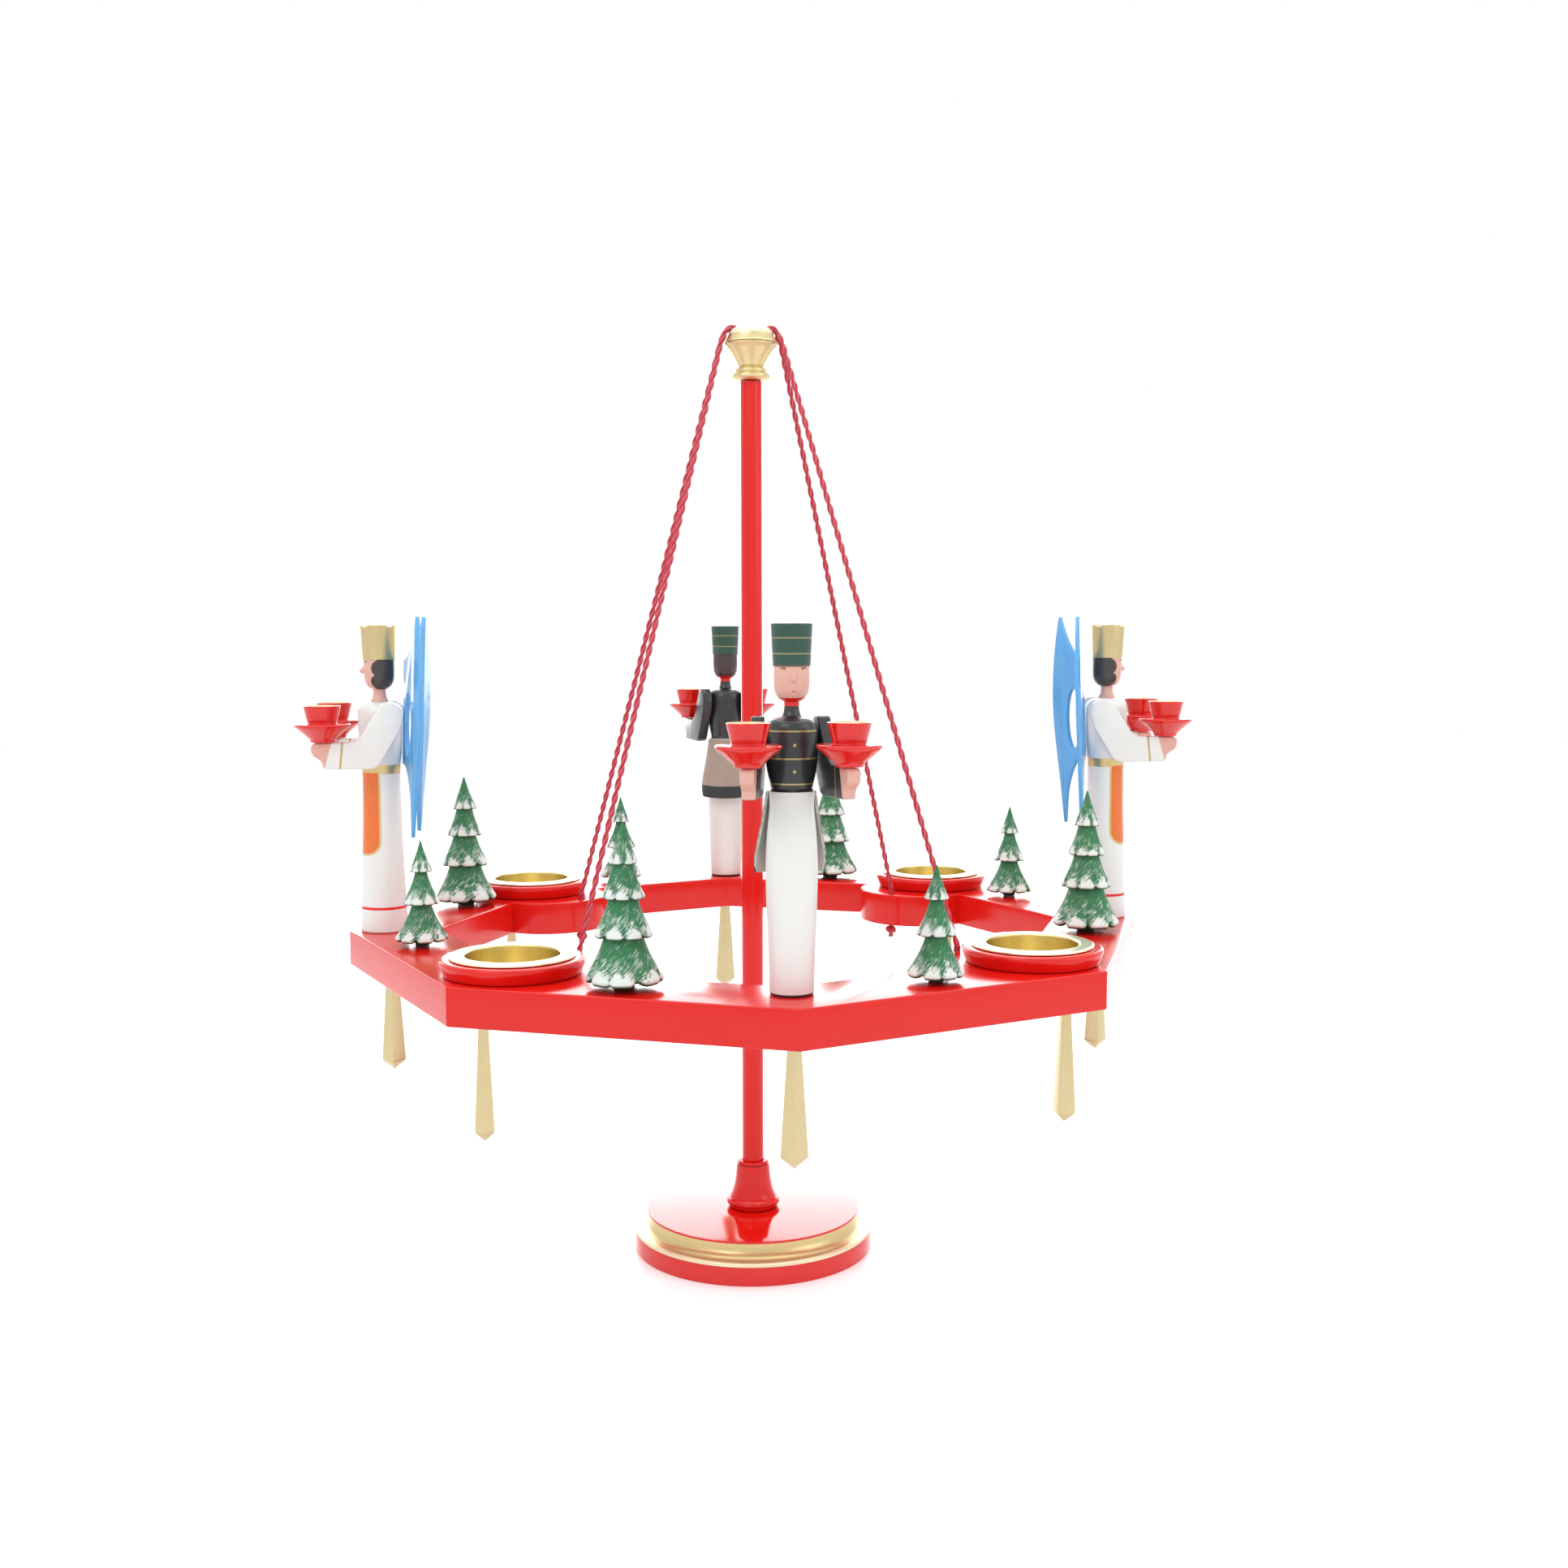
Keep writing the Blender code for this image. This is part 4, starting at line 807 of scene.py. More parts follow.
def make_finial():
    """Turned bell and domed cap, and the groove that a round-edged bar cuts across the cap."""
    gold = finial_paint()
    bell = along_curve([(14.55, 19.6), (13.9, 18.7), (12.75, 17.3), (11.4, 15.2), (9.9, 12.8),
                        (8.5, 10.4), (7.2, 7.9)], 6)
    foot = eased([(6.8, 7.5), (7.5, 6.8), (8.8, 5.9), (8.7, 4.9), (8.4, 4.5), (10.3, 3.3), (10.7, 2.4),
                  (10.6, 1.4), (8.3, 0), (2.8, 0)], 0.7)
    rim = eased([(2.8, 20.0), (14.2, 20.0), (14.55, 19.6)], 0.2)
    profile = np.vstack([rim, bell[1:], foot]) * MM
    piece("finial_bell", [grid(turned(profile, 128), wrap_rows=True)], gold, "stand",
          ["finial_cup"], spot(height=CUP_FOOT))
    dome = along_curve([(0, 10.25), (4.0, 10.04), (7.5, 9.25), (10.1, 7.9), (11.5, 6.7), (12.15, 5.7)],
                       6)
    side = eased([(12.15, 5.7), (12.9, 3.2), (14.0, 1.0), (14.55, 0.45), (14.3, 0), (3.0, 0),
                  (3.0, 4.5), (0, 4.5)], 0.35)
    profile = np.vstack([dome, side[1:]]) * MM
    # The mark picks out the dome, which the finial paint lightens as a painted highlight.
    marks = np.zeros((len(profile), 1, 3))
    marks[:len(dome), :, 0] = 1.0
    points = turned(profile, 128)
    cap = piece("finial_dome", [grid(points, marks + 0 * points)], gold,
                "wreath", ["finial_cap"], spot(height=CAP_FOOT))
    half_width, long = 3.7 * MM, 18 * MM
    section = eased([(-half_width, 12 * MM), (-half_width, 0), (half_width, 0), (half_width, 12 * MM)],
                    1.6 * MM, 5)
    section = np.vstack([section, [[half_width, 12 * MM]]])[:-1]
    ends = np.array([-long, long])
    block = np.stack([np.stack([0 * section[:, 0] + end, section[:, 0], section[:, 1] + GROOVE_FLOOR],
                               axis=-1) for end in ends])
    cut(cap, [grid(block, caps=True)])


# Wreath board


def board_outlines():
    """Inner and outer edge of the board as complex numbers, point for point.

    A quarter of the inner edge runs from an even corner along a straight side, round the tab's
    circle, which is centred on the odd corner's line, and along a straight side again.
    """
    half = math.pi / CORNERS
    apothem = BOARD_INNER_RADIUS * math.cos(half)
    lift = apothem / math.cos(half) - TAB_PLACE
    slope = math.tan(half)
    root = math.sqrt((lift * slope) ** 2 - (1 + slope ** 2) * (lift ** 2 - TAB_RADIUS ** 2))
    side = (lift * slope + root) / (1 + slope ** 2)
    start = math.atan2(side, lift - slope * side)
    tab = TAB_PLACE + TAB_RADIUS * np.exp(1j * np.linspace(FULL - start, start, 61))
    first = BOARD_INNER_RADIUS * np.exp(-2j * half)
    last = BOARD_INNER_RADIUS * np.exp(2j * half)
    share = np.linspace(0, 1, 9)
    run_in = first + (tab[0] - first) * share[:-1]
    run_out = tab[-1] + (last - tab[-1]) * share[1:-1]
    inner = np.concatenate([run_in, tab, run_out])
    middle = len(run_in) + 30
    share = np.interp(np.arange(len(inner)), [0, 8, middle, middle + 30, len(inner)],
                      [0, 0.74, 1, 1.26, 2])
    corner = BOARD_RADIUS * np.exp(2j * half * np.array([-1, 0, 1]))
    outer = np.where(share < 1, corner[0] + (corner[1] - corner[0]) * share,
                     corner[1] + (corner[2] - corner[1]) * (share - 1))
    quarter = np.exp(1j * (np.arange(4)[:, None] * math.pi / 2 + math.pi / 4))
    return (quarter * inner).ravel(), (quarter * outer).ravel()


def make_board(red):
    """The board's section, a rectangle with rounded corners, carried round its two edges."""
    inner, outer = board_outlines()
    arc = edge_arc(0.8 * MM, 4)
    rows = [(inset(inner, -into), BOARD_TOP - down) for into, down in arc[::-1]]
    rows += [(inset(outer, into), BOARD_TOP - down) for into, down in arc]
    rows += [(inset(outer, into), BOARD_UNDERSIDE + down) for into, down in arc[::-1]]
    rows += [(inset(inner, -into), BOARD_UNDERSIDE + down) for into, down in arc]
    points = np.stack([np.stack([row.real, row.imag, level + 0 * row.real], axis=-1)
                       for row, level in rows])
    board = piece("wreath_octagon", [grid(points, wrap_rows=True)], red, "wreath",
                  ["wreath_board"])
    recess_floor = BOARD_TOP - 7.9 * MM
    recess = turned([(0, BOARD_TOP + 4 * MM), (24.7 * MM, BOARD_TOP + 4 * MM),
                     (24.7 * MM, recess_floor), (0, recess_floor)], 64)
    hole = turned([(0, BOARD_TOP + 4 * MM), (2.2 * MM, BOARD_TOP + 4 * MM),
                   (2.2 * MM, BOARD_UNDERSIDE - 4 * MM), (0, BOARD_UNDERSIDE - 4 * MM)], 24)
    tools = []
    for corner in range(1, CORNERS, 2):
        way = corner * math.pi / 4
        outwards = np.array([math.cos(way), math.sin(way), 0])
        tools.append(grid(recess + CANDLE_RADIUS * outwards))
        tools.append(grid(hole + CORD_HOLE_PLACE * outwards))
    cut(board, tools)


def make_candle_places(red):
    """A turned plinth and a spun bowl at each corner between the figures."""
    brass = brass_paint()
    plinth = eased([(24.7, 8.0), (34.0, 8.0), (35.0, 7.1), (35.0, 5.6), (33.0, 0.3), (24.7, 0.3)], 0.6)
    bowl = eased([(0, -5.9), (19.9, -5.9), (22.8, -3.1), (22.8, 9.0), (23.5, 9.6), (29.7, 9.6),
                  (30.4, 8.95), (30.4, 8.3), (24.2, 8.3), (24.2, -4.5), (21.4, -7.3), (0, -7.3)], 0.9, 5)
    for corner, side in ((1, "rear_right"), (3, "rear_left"), (5, "front_left"), (7, "front_right")):
        where = spot(CANDLE_RADIUS, corner * math.pi / 4, BOARD_TOP)
        piece(f"plinth_{side}", [grid(turned(plinth * MM, 128), wrap_rows=True)], red, "wreath",
              [f"candle_{side}_plinth"], where)
        piece(f"bowl_{side}", [grid(turned(bowl * MM, 128))], brass, "wreath",
              [f"candle_{side}_bowl"], where)


def make_pendants():
    """A rounded square section, r = w / (|cos|^p + |sin|^p)^(1/p) with p near 1, from top to point."""
    gold = pendant_paint()
    u = np.linspace(0, FULL, 64, endpoint=False)
    power = 1.08
    square = 1 / (np.abs(np.cos(u)) ** power + np.abs(np.sin(u)) ** power) ** (1 / power)
    profile = np.array([(0, 0), (2.8, 0), (3.1, -0.35), (6.4, -52.9), (6.3, -53.7), (5.7, -54.4),
                        (0.25, -58.9), (0, -59.0)]) * MM
    radius = profile[:, :1] * square
    points = np.stack([radius * np.cos(u), radius * np.sin(u), profile[:, 1:] + 0 * u], axis=-1)
    for corner in range(CORNERS):
        piece(f"drop_{corner + 1}", [grid(points)], gold, "wreath",
              [f"pendant_{corner + 1}"],
              spot(PENDANT_PLACE, corner * math.pi / 4, BOARD_UNDERSIDE - SEAT_GAP), 28)


# Trees


def tree_surface(height, radius, tiers, neck_share, seed):
    """Carved tiers of a turned fir: radius neck + (rim - neck)(b t + (1 - b) t^2) down each tier.

    Eight shallow grooves open from a point part way down a tier to its rim, where each takes off
    0.17 (1 - c)^2 of the radius at the share c of its half width. Below the rim the surface rounds
    under to the next neck. Marks: fall, share across a lobe from its middle, peak of its snow.
    """
    random = np.random.default_rng(seed)
    columns, lobes = 288, 8
    u = np.linspace(0, FULL, columns, endpoint=False)
    t = np.linspace(0, 1, 25)[:, None]
    rows = [np.stack([0 * u, 0 * u, height + 0 * u], axis=-1)]
    marks = [np.stack([0 * u, 0 * u, 0.5 + 0 * u], axis=-1)]
    above, neck = height, 0.02 * radius
    for tier, (rim_share, level_share) in enumerate(tiers):
        rim, level = radius * rim_share, height * level_share
        middle = (np.arange(lobes) + 0.5 * (tier % 2)) * FULL / lobes
        middle = middle + random.uniform(-0.09, 0.09, lobes)
        gap = (u - middle[:, None] + math.pi) % FULL - math.pi
        lobe = np.abs(gap).argmin(axis=0)
        gap = np.abs(gap).min(axis=0)
        between = np.minimum(gap / 0.39, 1)
        opening = np.clip((t - 0.42) / 0.58, 0, 1)
        groove = np.clip(1 - (0.39 - gap) / (0.05 + 0.15 * opening), 0, 1) ** 2 * opening
        size = 1 - random.uniform(0, 0.06, lobes)[lobe] * (1 - between ** 4)
        bend = 0.7 if tier == 0 else 0.42
        ring = neck + (rim - neck) * (bend * t + (1 - bend) * t ** 2)
        ring = ring * (1 - 0.17 * groove) * size ** (t ** 2)
        z = above + (level - above) * t + 0.07 * rim * groove
        peak = random.uniform(0.30, 0.62, lobes)[lobe]
        rows += list(np.stack([ring * np.cos(u), ring * np.sin(u), z], axis=-1))
        marks += list(np.stack([t + 0 * u, between + 0 * t, peak + 0 * t], axis=-1))
        last = tier == len(tiers) - 1
        next_neck = 0.26 * radius if last else neck_share * rim
        for inwards, lower, fall in ((1.00, 0.045, 1.02), (0.985, 0.09, 1.05), (0.945, 0.125, 1.09),
                                     (0.88, 0.13, 1.13), (0.74, 0.09, 1.2)):
            under = ring[-1] * inwards
            rows.append(np.stack([under * np.cos(u), under * np.sin(u), z[-1] - lower * rim], -1))
            marks.append(np.stack([fall + 0 * u, between, peak], axis=-1))
        base = level + 0.01 * height
        rows.append(np.stack([next_neck * np.cos(u), next_neck * np.sin(u), base + 0 * u], axis=-1))
        marks.append(np.stack([1.2 + 0 * u, 1 + 0 * u, 1 + 0 * u], axis=-1))
        above, neck = base, next_neck
    for ring, z in ((0.26 * radius, 0.0), (0.0, 0.0)):
        rows.append(np.stack([ring * np.cos(u), ring * np.sin(u), z + 0 * u], axis=-1))
        marks.append(np.stack([1.2 + 0 * u, 1 + 0 * u, 1 + 0 * u], axis=-1))
    return grid(np.stack(rows), np.stack(marks))


def make_trees():
    """Four tall and four short firs; a tier is its rim's share of the radius and of the height."""
    paint = tree_paint()
    large = ((0.38, 0.765), (0.54, 0.560), (0.74, 0.335), (1.00, 0.070))
    small = ((0.42, 0.720), (0.70, 0.420), (1.00, 0.080))
    kinds = (("large", 76.6 * MM, 18.8 * MM, large, 0.62, (68.3, 153.3, 246.0, 345.5)),
             ("small", 55.0 * MM, 13.9 * MM, small, 0.47, (25.2, 112.5, 195.7, 292.3)))
    for kind, height, radius, tiers, neck_share, places in kinds:
        for number, degrees in enumerate(places, 1):
            points = tree_surface(height, radius, tiers, neck_share, 10 * number + len(tiers))
            where = spot(TREE_PLACE, math.radians(degrees), BOARD_TOP + SEAT_GAP)
            piece(f"{kind}_fir_{number}", [points], paint, "wreath",
                  [f"{kind}_tree_{number}"], where, 50)


# Figures


def head_grids(notched):
    """Head, hat with a hollowed top, and a pointed nose; an angel's rim dips in four places."""
    skull = along_curve([(8.7, 16.0), (8.3, 14.6), (8.35, 11.6), (8.2, 8.0), (7.6, 4.4), (6.0, 1.6),
                         (3.7, 0.0)], 6)[6:]
    hat = eased([(0, 31.6), (7.3, 31.6), (8.3, 34.6), (9.7, 34.6), (8.7, 16.1), (8.3, 15.7)], 0.45)
    profile = np.vstack([hat, skull, [[0, 0]]]) * MM
    points = turned(profile, 96)
    if notched:
        u = np.arctan2(points[..., 1], points[..., 0])
        reach = 9.7 * MM * np.sin(u % (math.pi / 2) - math.pi / 4)
        dip = (34.6 + 6.0 - 1.1) * MM - np.sqrt(np.maximum((6.0 * MM) ** 2 - reach ** 2, 0))
        points[..., 2] = np.where(points[..., 2] > 32.5 * MM, np.minimum(points[..., 2], dip),
                                  points[..., 2])
    turn = np.linspace(0, FULL, 20, endpoint=False)
    reach = np.array([6.0, 6.0, 7.6, 8.4, 9.3, 10.1, 10.45, 10.5])[:, None] * MM
    thick = np.array([0.0, 3.4, 2.9, 2.2, 1.35, 0.7, 0.3, 0.0])[:, None] * MM
    level = 10.6 * MM - 0.42 * (reach - 8 * MM)
    nose = np.stack([reach + 0 * turn, 0.45 * thick * np.cos(turn), level + thick * np.sin(turn)],
                    axis=-1)
    return [grid(points), grid(nose)]


def arm_outline():
    """Outline of the sawn arm, forwards and up, with the elbow and the hand rounded."""
    shares = np.array([(0.02, 1.0), (0.34, 0.475), (0.43, 0.415), (0.955, 0.415), (1.0, 0.36),
                       (0.98, 0.23), (0.85, 0.13), (0.83, 0.018), (0.17, 0.0), (0.085, 0.04),
                       (-0.22, 0.58), (-0.265, 0.76), (-0.23, 0.915), (-0.12, 1.0)])
    outline = np.stack([38.3 * shares[:, 0], 90.0 + 35.5 * shares[:, 1]], axis=-1)
    outline[2:4, 1] = FOREARM_TOP / MM
    return eased(outline, 1.3, 4, closed=True) * MM


def wing_edges():
    """The sawn edge of a wing, its span across and its height up, and the edge of its window."""
    outer = along_curve([(18.9, 171.8), (20.6, 170.0), (24.0, 155.2), (26.2, 139.8), (27.0, 124.3),
                         (26.2, 108.9), (24.3, 94.6), (21.9, 78.0), (18.9, 54.9), (17.3, 53.1)], 6)
    inner = along_curve([(17.3, 53.1), (15.4, 69.7), (11.6, 81.0), (5.9, 89.3), (0.0, 91.2),
                         (-5.4, 91.4)], 6)
    notch = along_curve([(-5.4, 127.6), (0.2, 127.6), (3.2, 129.0), (4.2, 132.0), (3.0, 134.6),
                         (0.2, 136.0), (-5.4, 136.2)], 5)
    upper = along_curve([(-5.4, 148.0), (0.0, 148.6), (5.0, 150.6), (10.6, 155.4), (15.4, 163.4),
                         (18.9, 171.8)], 6)
    a = np.linspace(0, FULL, 64, endpoint=False)
    window = np.stack([8.6 + 5.7 * np.cos(a),
                       113.4 + 17.4 * np.sin(a) * (1 - 0.06 * np.cos(a))], axis=-1)
    return np.vstack([outer[:-1], inner, notch, upper[:-1]]) * MM, window * MM


def wing_grid(loop, deep, edge):
    """A sawn wing, or the plug that cuts its window, swept back and leaned.

    Across u and depth d become: back -u sin(sweep) + d cos(sweep), aside u cos(sweep) +
    d sin(sweep); then the whole turns by the lean about a level line at the chest.
    """
    chest = 113.8 * MM
    points = plate(loop, deep, edge)
    across, up, depth = points[..., 0], points[..., 1], points[..., 2] - WING_THICKNESS / 2
    back = -across * math.sin(WING_SWEEP) + depth * math.cos(WING_SWEEP)
    aside = across * math.cos(WING_SWEEP) + depth * math.sin(WING_SWEEP)
    x = back * math.cos(WING_LEAN) - (up - chest) * math.sin(WING_LEAN)
    z = chest + (up - chest) * math.cos(WING_LEAN) + back * math.sin(WING_LEAN)
    return grid(np.stack([x, aside, z], axis=-1), np.stack([across, up, depth], axis=-1), caps=True)


def cut_off_at_middle(mesh):
    """Cut a wing off flat just short of the middle plane, where its twin begins, and close it."""
    work = bmesh.new()
    work.from_mesh(mesh)
    bmesh.ops.bisect_plane(work, geom=[*work.verts, *work.edges, *work.faces],
                           plane_co=(0, 0.02 * MM, 0), plane_no=(0, 1, 0), clear_inner=True)
    bmesh.ops.holes_fill(work, edges=[edge for edge in work.edges if edge.is_boundary])
    bmesh.ops.recalc_face_normals(work, faces=work.faces)
    work.to_mesh(mesh)
    work.free()


def make_wings(name, finish, where):
    """One wing with its window cut out, and its mirror image beside it."""
    outline, window = wing_edges()
    pair = piece(name + "_wing_pair", [wing_grid(outline, WING_THICKNESS, 0.6 * MM)], finish,
                 "wreath", [name + "_wings"])
    cut(pair, [wing_grid(window, 9.0 * MM, 0.0)])
    cut_off_at_middle(pair.data)
    mirror = pair.modifiers.new("Other wing", "MIRROR")
    mirror.use_axis = (False, True, False)
    mirror.use_mirror_merge = False
    settled(pair)
    pair.data.transform(where @ Matrix.Translation((-12.1 * MM, 0, 0)))


def leather_grid():
    """A bent sheet: radius and half turn grow as it falls; outer rows, then the inner rows back.

    The ends of both parameters fold to the middle of the thickness, which closes the edges.
    """
    thick, top, long = 1.2 * MM, 91.8 * MM, 38.5 * MM
    share = np.concatenate([[-1.004], np.linspace(-1, 1, 41), [1.004]])[None, :]
    fall = np.linspace(0, 1, 25)[:, None]
    radius = (11.6 + (19.0 - 11.6) * (0.75 * fall + 0.25 * fall ** 2)) * MM
    half = math.radians(78.0) * (1 - 0.28 * np.maximum(0, fall - 0.7) / 0.3 * (fall - 0.4) / 0.6)
    angle = math.pi + half * share
    drop = top - long * fall * (1 - 0.02 * share ** 2)
    wave = 1 + 0.015 * np.sin(3 * angle) * fall
    points, marks = [], []
    for outside, order in ((1.0, 1), (0.0, -1)):
        depth = np.where(np.abs(share) > 1, 0.5, 1.0 - outside) * thick
        ring = radius * wave - depth
        points.append(np.stack([ring * np.cos(angle), ring * np.sin(angle), drop], axis=-1)[::order])
        marks.append(np.stack([share + 0 * fall, fall + 0 * share, outside + 0 * angle],
                              axis=-1)[::order])
    return grid(np.concatenate(points), np.concatenate(marks), wrap_rows=True, wrap_columns=False)


def cup_grid():
    """Cup and saucer in one turning; the mark tells the inside of the cup."""
    inside = eased([(0, 11.25), (6.4, 11.25), (8.1, 18.6), (8.65, 19.4)], 0.5)
    outside = eased([(8.65, 19.4), (9.75, 19.4), (7.5, 10.0), (14.3, 9.75), (14.8, 9.2), (14.4, 8.4),
                     (13.7, 7.6), (7.6, 2.4), (6.4, 1.2), (6.2, 0.0), (0, 0)], 0.5)
    profile = np.vstack([inside, outside[1:]]) * MM
    marks = np.zeros((len(profile), 1, 3))
    marks[:len(inside), :, 0] = 1.0
    points = turned(profile, 80)
    return grid(points, marks + np.zeros_like(points))


def make_figures():
    """Turned bodies and heads, sawn arms with cups on their hands, and wings or a seat leather."""
    gown, dress = angel_body_paint(), miner_body_paint()
    angel_head, miner_head = angel_head_paint(), miner_head_paint()
    white_arm = sleeve_paint("angel_sleeve", WHITE, WHITE_WARM, GOLD_DEEP)
    black_arm = sleeve_paint("miner_sleeve", BLACK, BLACK_LIGHT, BRAID)
    cup, wing, leather = cup_paint(), wing_paint(), leather_paint()
    neck = eased([(0, 132.25), (3.45, 132.25), (3.4, 130.9)], 0.15)
    gown_curve = along_curve([(3.4, 130.9), (3.55, 129.2), (4.1, 127.5), (4.9, 126.2), (5.8, 125.3),
                              (9.4, 124.1), (11.6, 121.0), (11.8, 113.8), (11.2, 98.2),
                              (10.5, 91.6), (10.2, 86.5)], 6)
    skirt = along_curve([(10.2, 86.5), (10.1, 81.3), (10.4, 60.6), (11.1, 43.3), (11.8, 21.6),
                         (12.7, 3.0), (12.9, 0.8)], 6)
    angel = np.vstack([neck, gown_curve[1:], skirt[1:], [(12.5, 0.0), (0, 0)]]) * MM
    jacket = along_curve([(3.4, 130.9), (3.5, 129.0), (3.9, 127.2), (5.0, 125.5), (9.4, 124.1),
                          (11.6, 120.6), (11.8, 109.9), (11.3, 102.9), (9.5, 93.6)], 6)
    hem = eased([(9.5, 93.6), (10.2, 92.4), (10.15, 91.0)], 0.3)
    legs = along_curve([(10.15, 91.0), (10.1, 83.9), (11.3, 70.9), (11.8, 55.4), (11.1, 26.0),
                        (10.2, 1.0)], 6)
    miner = np.vstack([neck, jacket[1:], hem[1:], legs[1:], [(9.9, 0.0), (0, 0)]]) * MM
    arm, cup_points = grid(plate(arm_outline(), ARM_THICKNESS, 0.9 * MM), caps=True), cup_grid()
    splay = math.radians(13.0)
    kinds = (("angel", ANGEL_PLACE, (("right", 0.0), ("left", math.pi)), angel, gown, angel_head,
              white_arm, "white_figure"),
             ("miner", MINER_PLACE, (("front", -math.pi / 2), ("rear", math.pi / 2)), miner, dress,
              miner_head, black_arm, "black_figure"))
    for kind, radius, sides, profile, body_paint, head_paint, arm_paint, slot in kinds:
        for side, angle in sides:
            name = f"{kind}_{side}"
            where = spot(radius, angle, BOARD_TOP + SEAT_GAP)
            piece(name + "_figure", [grid(turned(profile, 96))], body_paint, "wreath",
                  [name + "_body"], where, 40)
            piece(name + "_head_and_hat", head_grids(kind == "angel"), head_paint, "wreath",
                  [name + "_head"], where @ spot(height=HEAD_SEAT), 40)
            for hand, way in (("l", 1), ("r", -1)):
                turn = way * splay
                aside = Vector((-math.sin(turn), math.cos(turn), 0)) * 15.2 * MM * way
                ahead = Vector((math.cos(turn), math.sin(turn), 0)) * 31.8 * MM
                upright = Matrix.Rotation(turn, 4, "Z") @ Matrix.Rotation(math.pi / 2, 4, "X")
                piece(f"{name}_sleeve_{hand}", [arm], arm_paint, "wreath",
                      [f"{name}_arm_{hand}"], where @ Matrix.Translation(aside) @ upright)
                on_hand = aside + ahead + Vector((0, 0, CUP_SEAT))
                piece(f"{name}_candle_cup_{hand}", [cup_points], cup, "wreath",
                      [f"{name}_cup_{hand}"], where @ Matrix.Translation(on_hand))
            if kind == "angel":
                make_wings(name, wing, where)
            else:
                piece(name + "_seat_leather", [leather_grid()], leather, "wreath",
                      [name + "_leather"], where, 60)


# Cords


def square_to(path):
    """Two directions square to a path and to each other at each of its points."""
    tangent = np.gradient(path, axis=0)
    tangent /= np.linalg.norm(tangent, axis=1, keepdims=True)
    normal = np.cross((0.0, 1.0, 0.0), tangent)
    normal /= np.linalg.norm(normal, axis=1, keepdims=True)
    return normal, np.cross(tangent, normal)


def tube(path, radius, columns, about=None):
    """Rings of the radius round a path, square to it; the ends close to a point.

    The marks are the length along, the angle around, and the distance out from the rope's middle.
    """
    normal, other = square_to(path)
    u = np.linspace(0, FULL, columns, endpoint=False)[None, :, None]
    sizes = np.full((len(path), 1, 1), radius)
    sizes[[0, -1]] = 0.0
    points = path[:, None] + sizes * (np.cos(u) * normal[:, None] + np.sin(u) * other[:, None])
    length = np.concatenate([[0], np.cumsum(np.linalg.norm(np.diff(path, axis=0), axis=1))])
    out = np.full(points.shape[:2], 1.6 * MM)
    if about is not None:
        out = np.linalg.norm(points - about[:, None], axis=2)
    marks = np.stack([length[:, None] + 0 * out, u[0, :, 0] + 0 * out, out], axis=-1)
    return grid(points, marks)


def cord_route(side):
    """The cord's centre line from one knot over the cap to the other, even steps along it."""
    span = CORD_HOLE_PLACE / math.sqrt(2)
    thick = CORD_THICKNESS
    lane = side * 1.8 * MM
    lie = GROOVE_FLOOR + SEAT_GAP + thick / 2
    knot = BOARD_UNDERSIDE - SEAT_GAP - 3.6 * MM
    clear = BOARD_TOP + thick
    foot = np.array([span, side * span, clear])
    half = [(0, lane, lie)]
    half += [(out * MM, lane * aside, lie - down * MM) for out, aside, down in
             ((6.0, 1.0, 0.0), (10.4, 1.0, -0.1), (12.5, 1.05, 0.25), (14.4, 1.15, 2.0),
              (15.3, 1.5, 4.6), (16.9, 2.0, 8.2))]
    top = np.array(half[-1])
    half += [tuple(top + (foot - top) * share - (0, 0, 0.02 * thick)) for share in (0.06, 0.5, 0.96)]
    half += [(span, side * span, clear - thick / 2), (span, side * span, BOARD_UNDERSIDE),
             (span, side * span, knot - TAIL)]
    left = [(-x, y, z) for x, y, z in reversed(half[1:])]
    path = along_curve(left + half, 60)
    length = np.concatenate([[0], np.cumsum(np.linalg.norm(np.diff(path, axis=0), axis=1))])
    steps = np.linspace(0, length[-1], int(length[-1] / (0.62 * MM)))
    return np.stack([np.interp(steps, length, path[:, axis]) for axis in range(3)], axis=-1), steps


def make_cords():
    """Two strands wind round each route: its centre plus r(cos p N + sin p B), p by the lay.

    A knot is the curve (sin t + 2 sin 2t, cos t - 2 cos 2t, -1.2 sin 3t) above each tail.
    """
    silk = cord_paint()
    lay, offset, radius = 14.6 * MM, 0.74 * MM, 0.86 * MM
    for side, name in ((-1, "cord_front"), (1, "cord_rear")):
        path, steps = cord_route(side)
        normal, other = square_to(path)
        grids = []
        for strand in (0, 1):
            p = (steps / lay * FULL + strand * math.pi)[:, None]
            strand_path = path + offset * (np.cos(p) * normal + np.sin(p) * other)
            grids.append(tube(strand_path, radius, 12, path))
        t = np.linspace(0, FULL, 91)
        loop = np.stack([np.sin(t) + 2 * np.sin(2 * t), np.cos(t) - 2 * np.cos(2 * t),
                         -1.2 * np.sin(3 * t)], axis=-1) * 0.78 * MM
        for end in (0, -1):
            grids.append(tube(loop + path[end] + (0, 0, TAIL), 1.25 * MM, 10))
        piece(f"twisted_{name}", grids, silk, "wreath", [name], None, 60)


# Studio


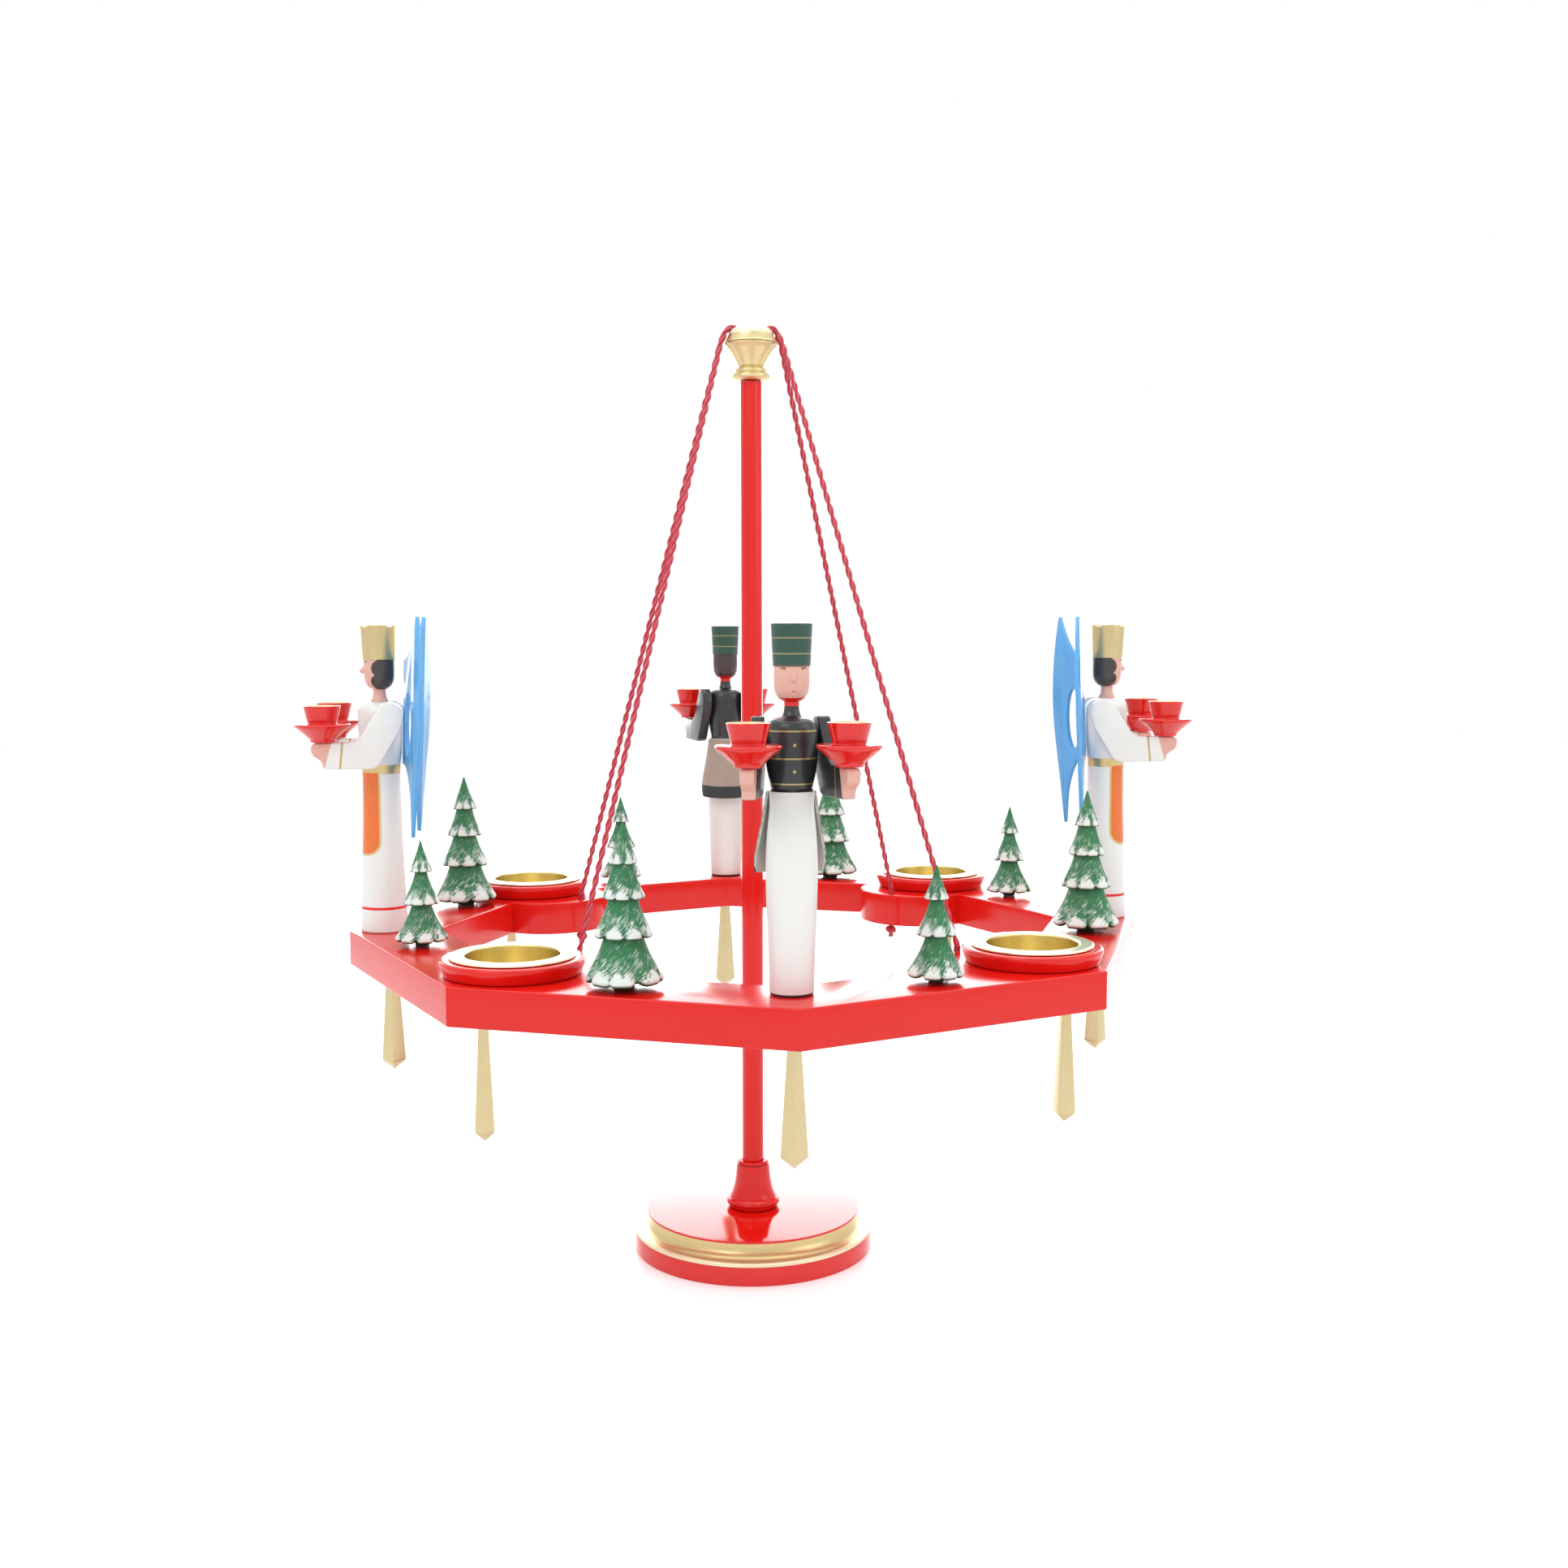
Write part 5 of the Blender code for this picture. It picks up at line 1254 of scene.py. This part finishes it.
def make_floor():
    """A pale floor that the camera and mirror-like surfaces see a little brighter."""
    paint = Paint("studio_floor", roughness=0.35, emission_strength=0.24)
    where = paint.place()
    tone = paint.noise(where, 3, 2)
    camera = paint.node("ShaderNodeLightPath")
    glossy = paint.node("ShaderNodeLightPath", output=3)
    colour = paint.mix((0.86, 0.86, 0.86, 1), (0.90, 0.90, 0.90, 1), tone)
    glow = paint.mix((0, 0, 0, 1), (1, 1, 1, 1), camera.most(glossy))
    material = paint.finish(base_color=colour, emission_color=glow)
    mesh = bpy.data.meshes.new("floor")
    reach, level = 4.0, -0.02 * MM
    mesh.from_pydata([(-reach, -reach, level), (reach, -reach, level), (reach, reach, level),
                      (-reach, reach, level)], [], [(0, 1, 2, 3)])
    floor = bpy.data.objects.new("floor", mesh)
    bpy.context.scene.collection.objects.link(floor)
    mesh.materials.append(material)


def make_world():
    """A white world, dimmer for the rays that light matt surfaces."""
    world = bpy.data.worlds.new("studio")
    world.use_nodes = True
    tree = world.node_tree
    background = tree.nodes["Background"]
    background.inputs["Color"].default_value = (1, 1, 1, 1)
    path = tree.nodes.new("ShaderNodeLightPath")
    seen = path.outputs["Is Camera Ray"]
    for ray in ("Is Glossy Ray", "Is Transmission Ray"):
        either = tree.nodes.new("ShaderNodeMath")
        either.operation = "MAXIMUM"
        tree.links.new(seen, either.inputs[0])
        tree.links.new(path.outputs[ray], either.inputs[1])
        seen = either.outputs[0]
    strength = tree.nodes.new("ShaderNodeMapRange")
    strength.inputs["To Min"].default_value = 0.86
    strength.inputs["To Max"].default_value = 1.0
    tree.links.new(seen, strength.inputs["Value"])
    tree.links.new(strength.outputs[0], background.inputs["Strength"])
    bpy.context.scene.world = world


def panel(name, place, aim, width, height, radiance, lights_surfaces=True):
    """A soft rectangular lamp of the given brightness, facing a point."""
    lamp = bpy.data.lights.new(name, "AREA")
    lamp.shape = "RECTANGLE"
    lamp.size = width
    lamp.size_y = height
    lamp.energy = radiance * math.pi * width * height
    thing = bpy.data.objects.new(name, lamp)
    bpy.context.scene.collection.objects.link(thing)
    thing.location = place
    thing.rotation_euler = (Vector(aim) - Vector(place)).to_track_quat("-Z", "Y").to_euler()
    thing.visible_camera = False
    thing.visible_diffuse = lights_surfaces


def make_lights():
    """Three soft panels, and one behind that only shows in gloss."""
    middle = (0, 0, 0.25)
    panel("key_panel", (-1.1, -1.3, 1.7), middle, 1.2, 1.2, 2.2)
    panel("fill_panel", (1.5, -0.9, 1.1), middle, 1.2, 1.2, 1.1)
    panel("top_panel", (0.1, 0.5, 2.0), middle, 1.6, 1.6, 1.5)
    panel("rear_panel", (0.2, 2.2, 0.75), (0, 0, 0.15), 3.4, 1.3, 3.2, False)


def make_camera():
    """The camera, turned to its azimuth, pitch and roll."""
    azimuth, pitch, roll = (math.radians(angle) for angle in
                            (CAMERA_AZIMUTH_DEG, CAMERA_PITCH_DEG, CAMERA_ROLL_DEG))
    forward = Vector((math.cos(azimuth) * math.cos(pitch), math.sin(azimuth) * math.cos(pitch),
                      math.sin(pitch)))
    right = forward.cross(Vector((0, 0, 1))).normalized()
    up = right.cross(forward)
    tilted = right * math.cos(roll) + up * math.sin(roll)
    upright = up * math.cos(roll) - right * math.sin(roll)
    turn = Matrix((tilted, upright, -forward)).transposed().to_4x4()
    lens = bpy.data.cameras.new("camera")
    lens.lens = CAMERA_LENS
    lens.sensor_width = 36.0
    lens.clip_start = 0.01
    camera = bpy.data.objects.new("camera", lens)
    bpy.context.scene.collection.objects.link(camera)
    camera.matrix_world = Matrix.Translation(CAMERA_SPOT) @ turn
    bpy.context.scene.camera = camera


bpy.context.scene.view_settings.view_transform = "Standard"
make_camera()
make_world()
make_lights()
make_floor()
red_gloss = make_stand()
make_finial()
make_board(red_gloss)
make_candle_places(red_gloss)
make_pendants()
make_trees()
make_figures()
make_cords()
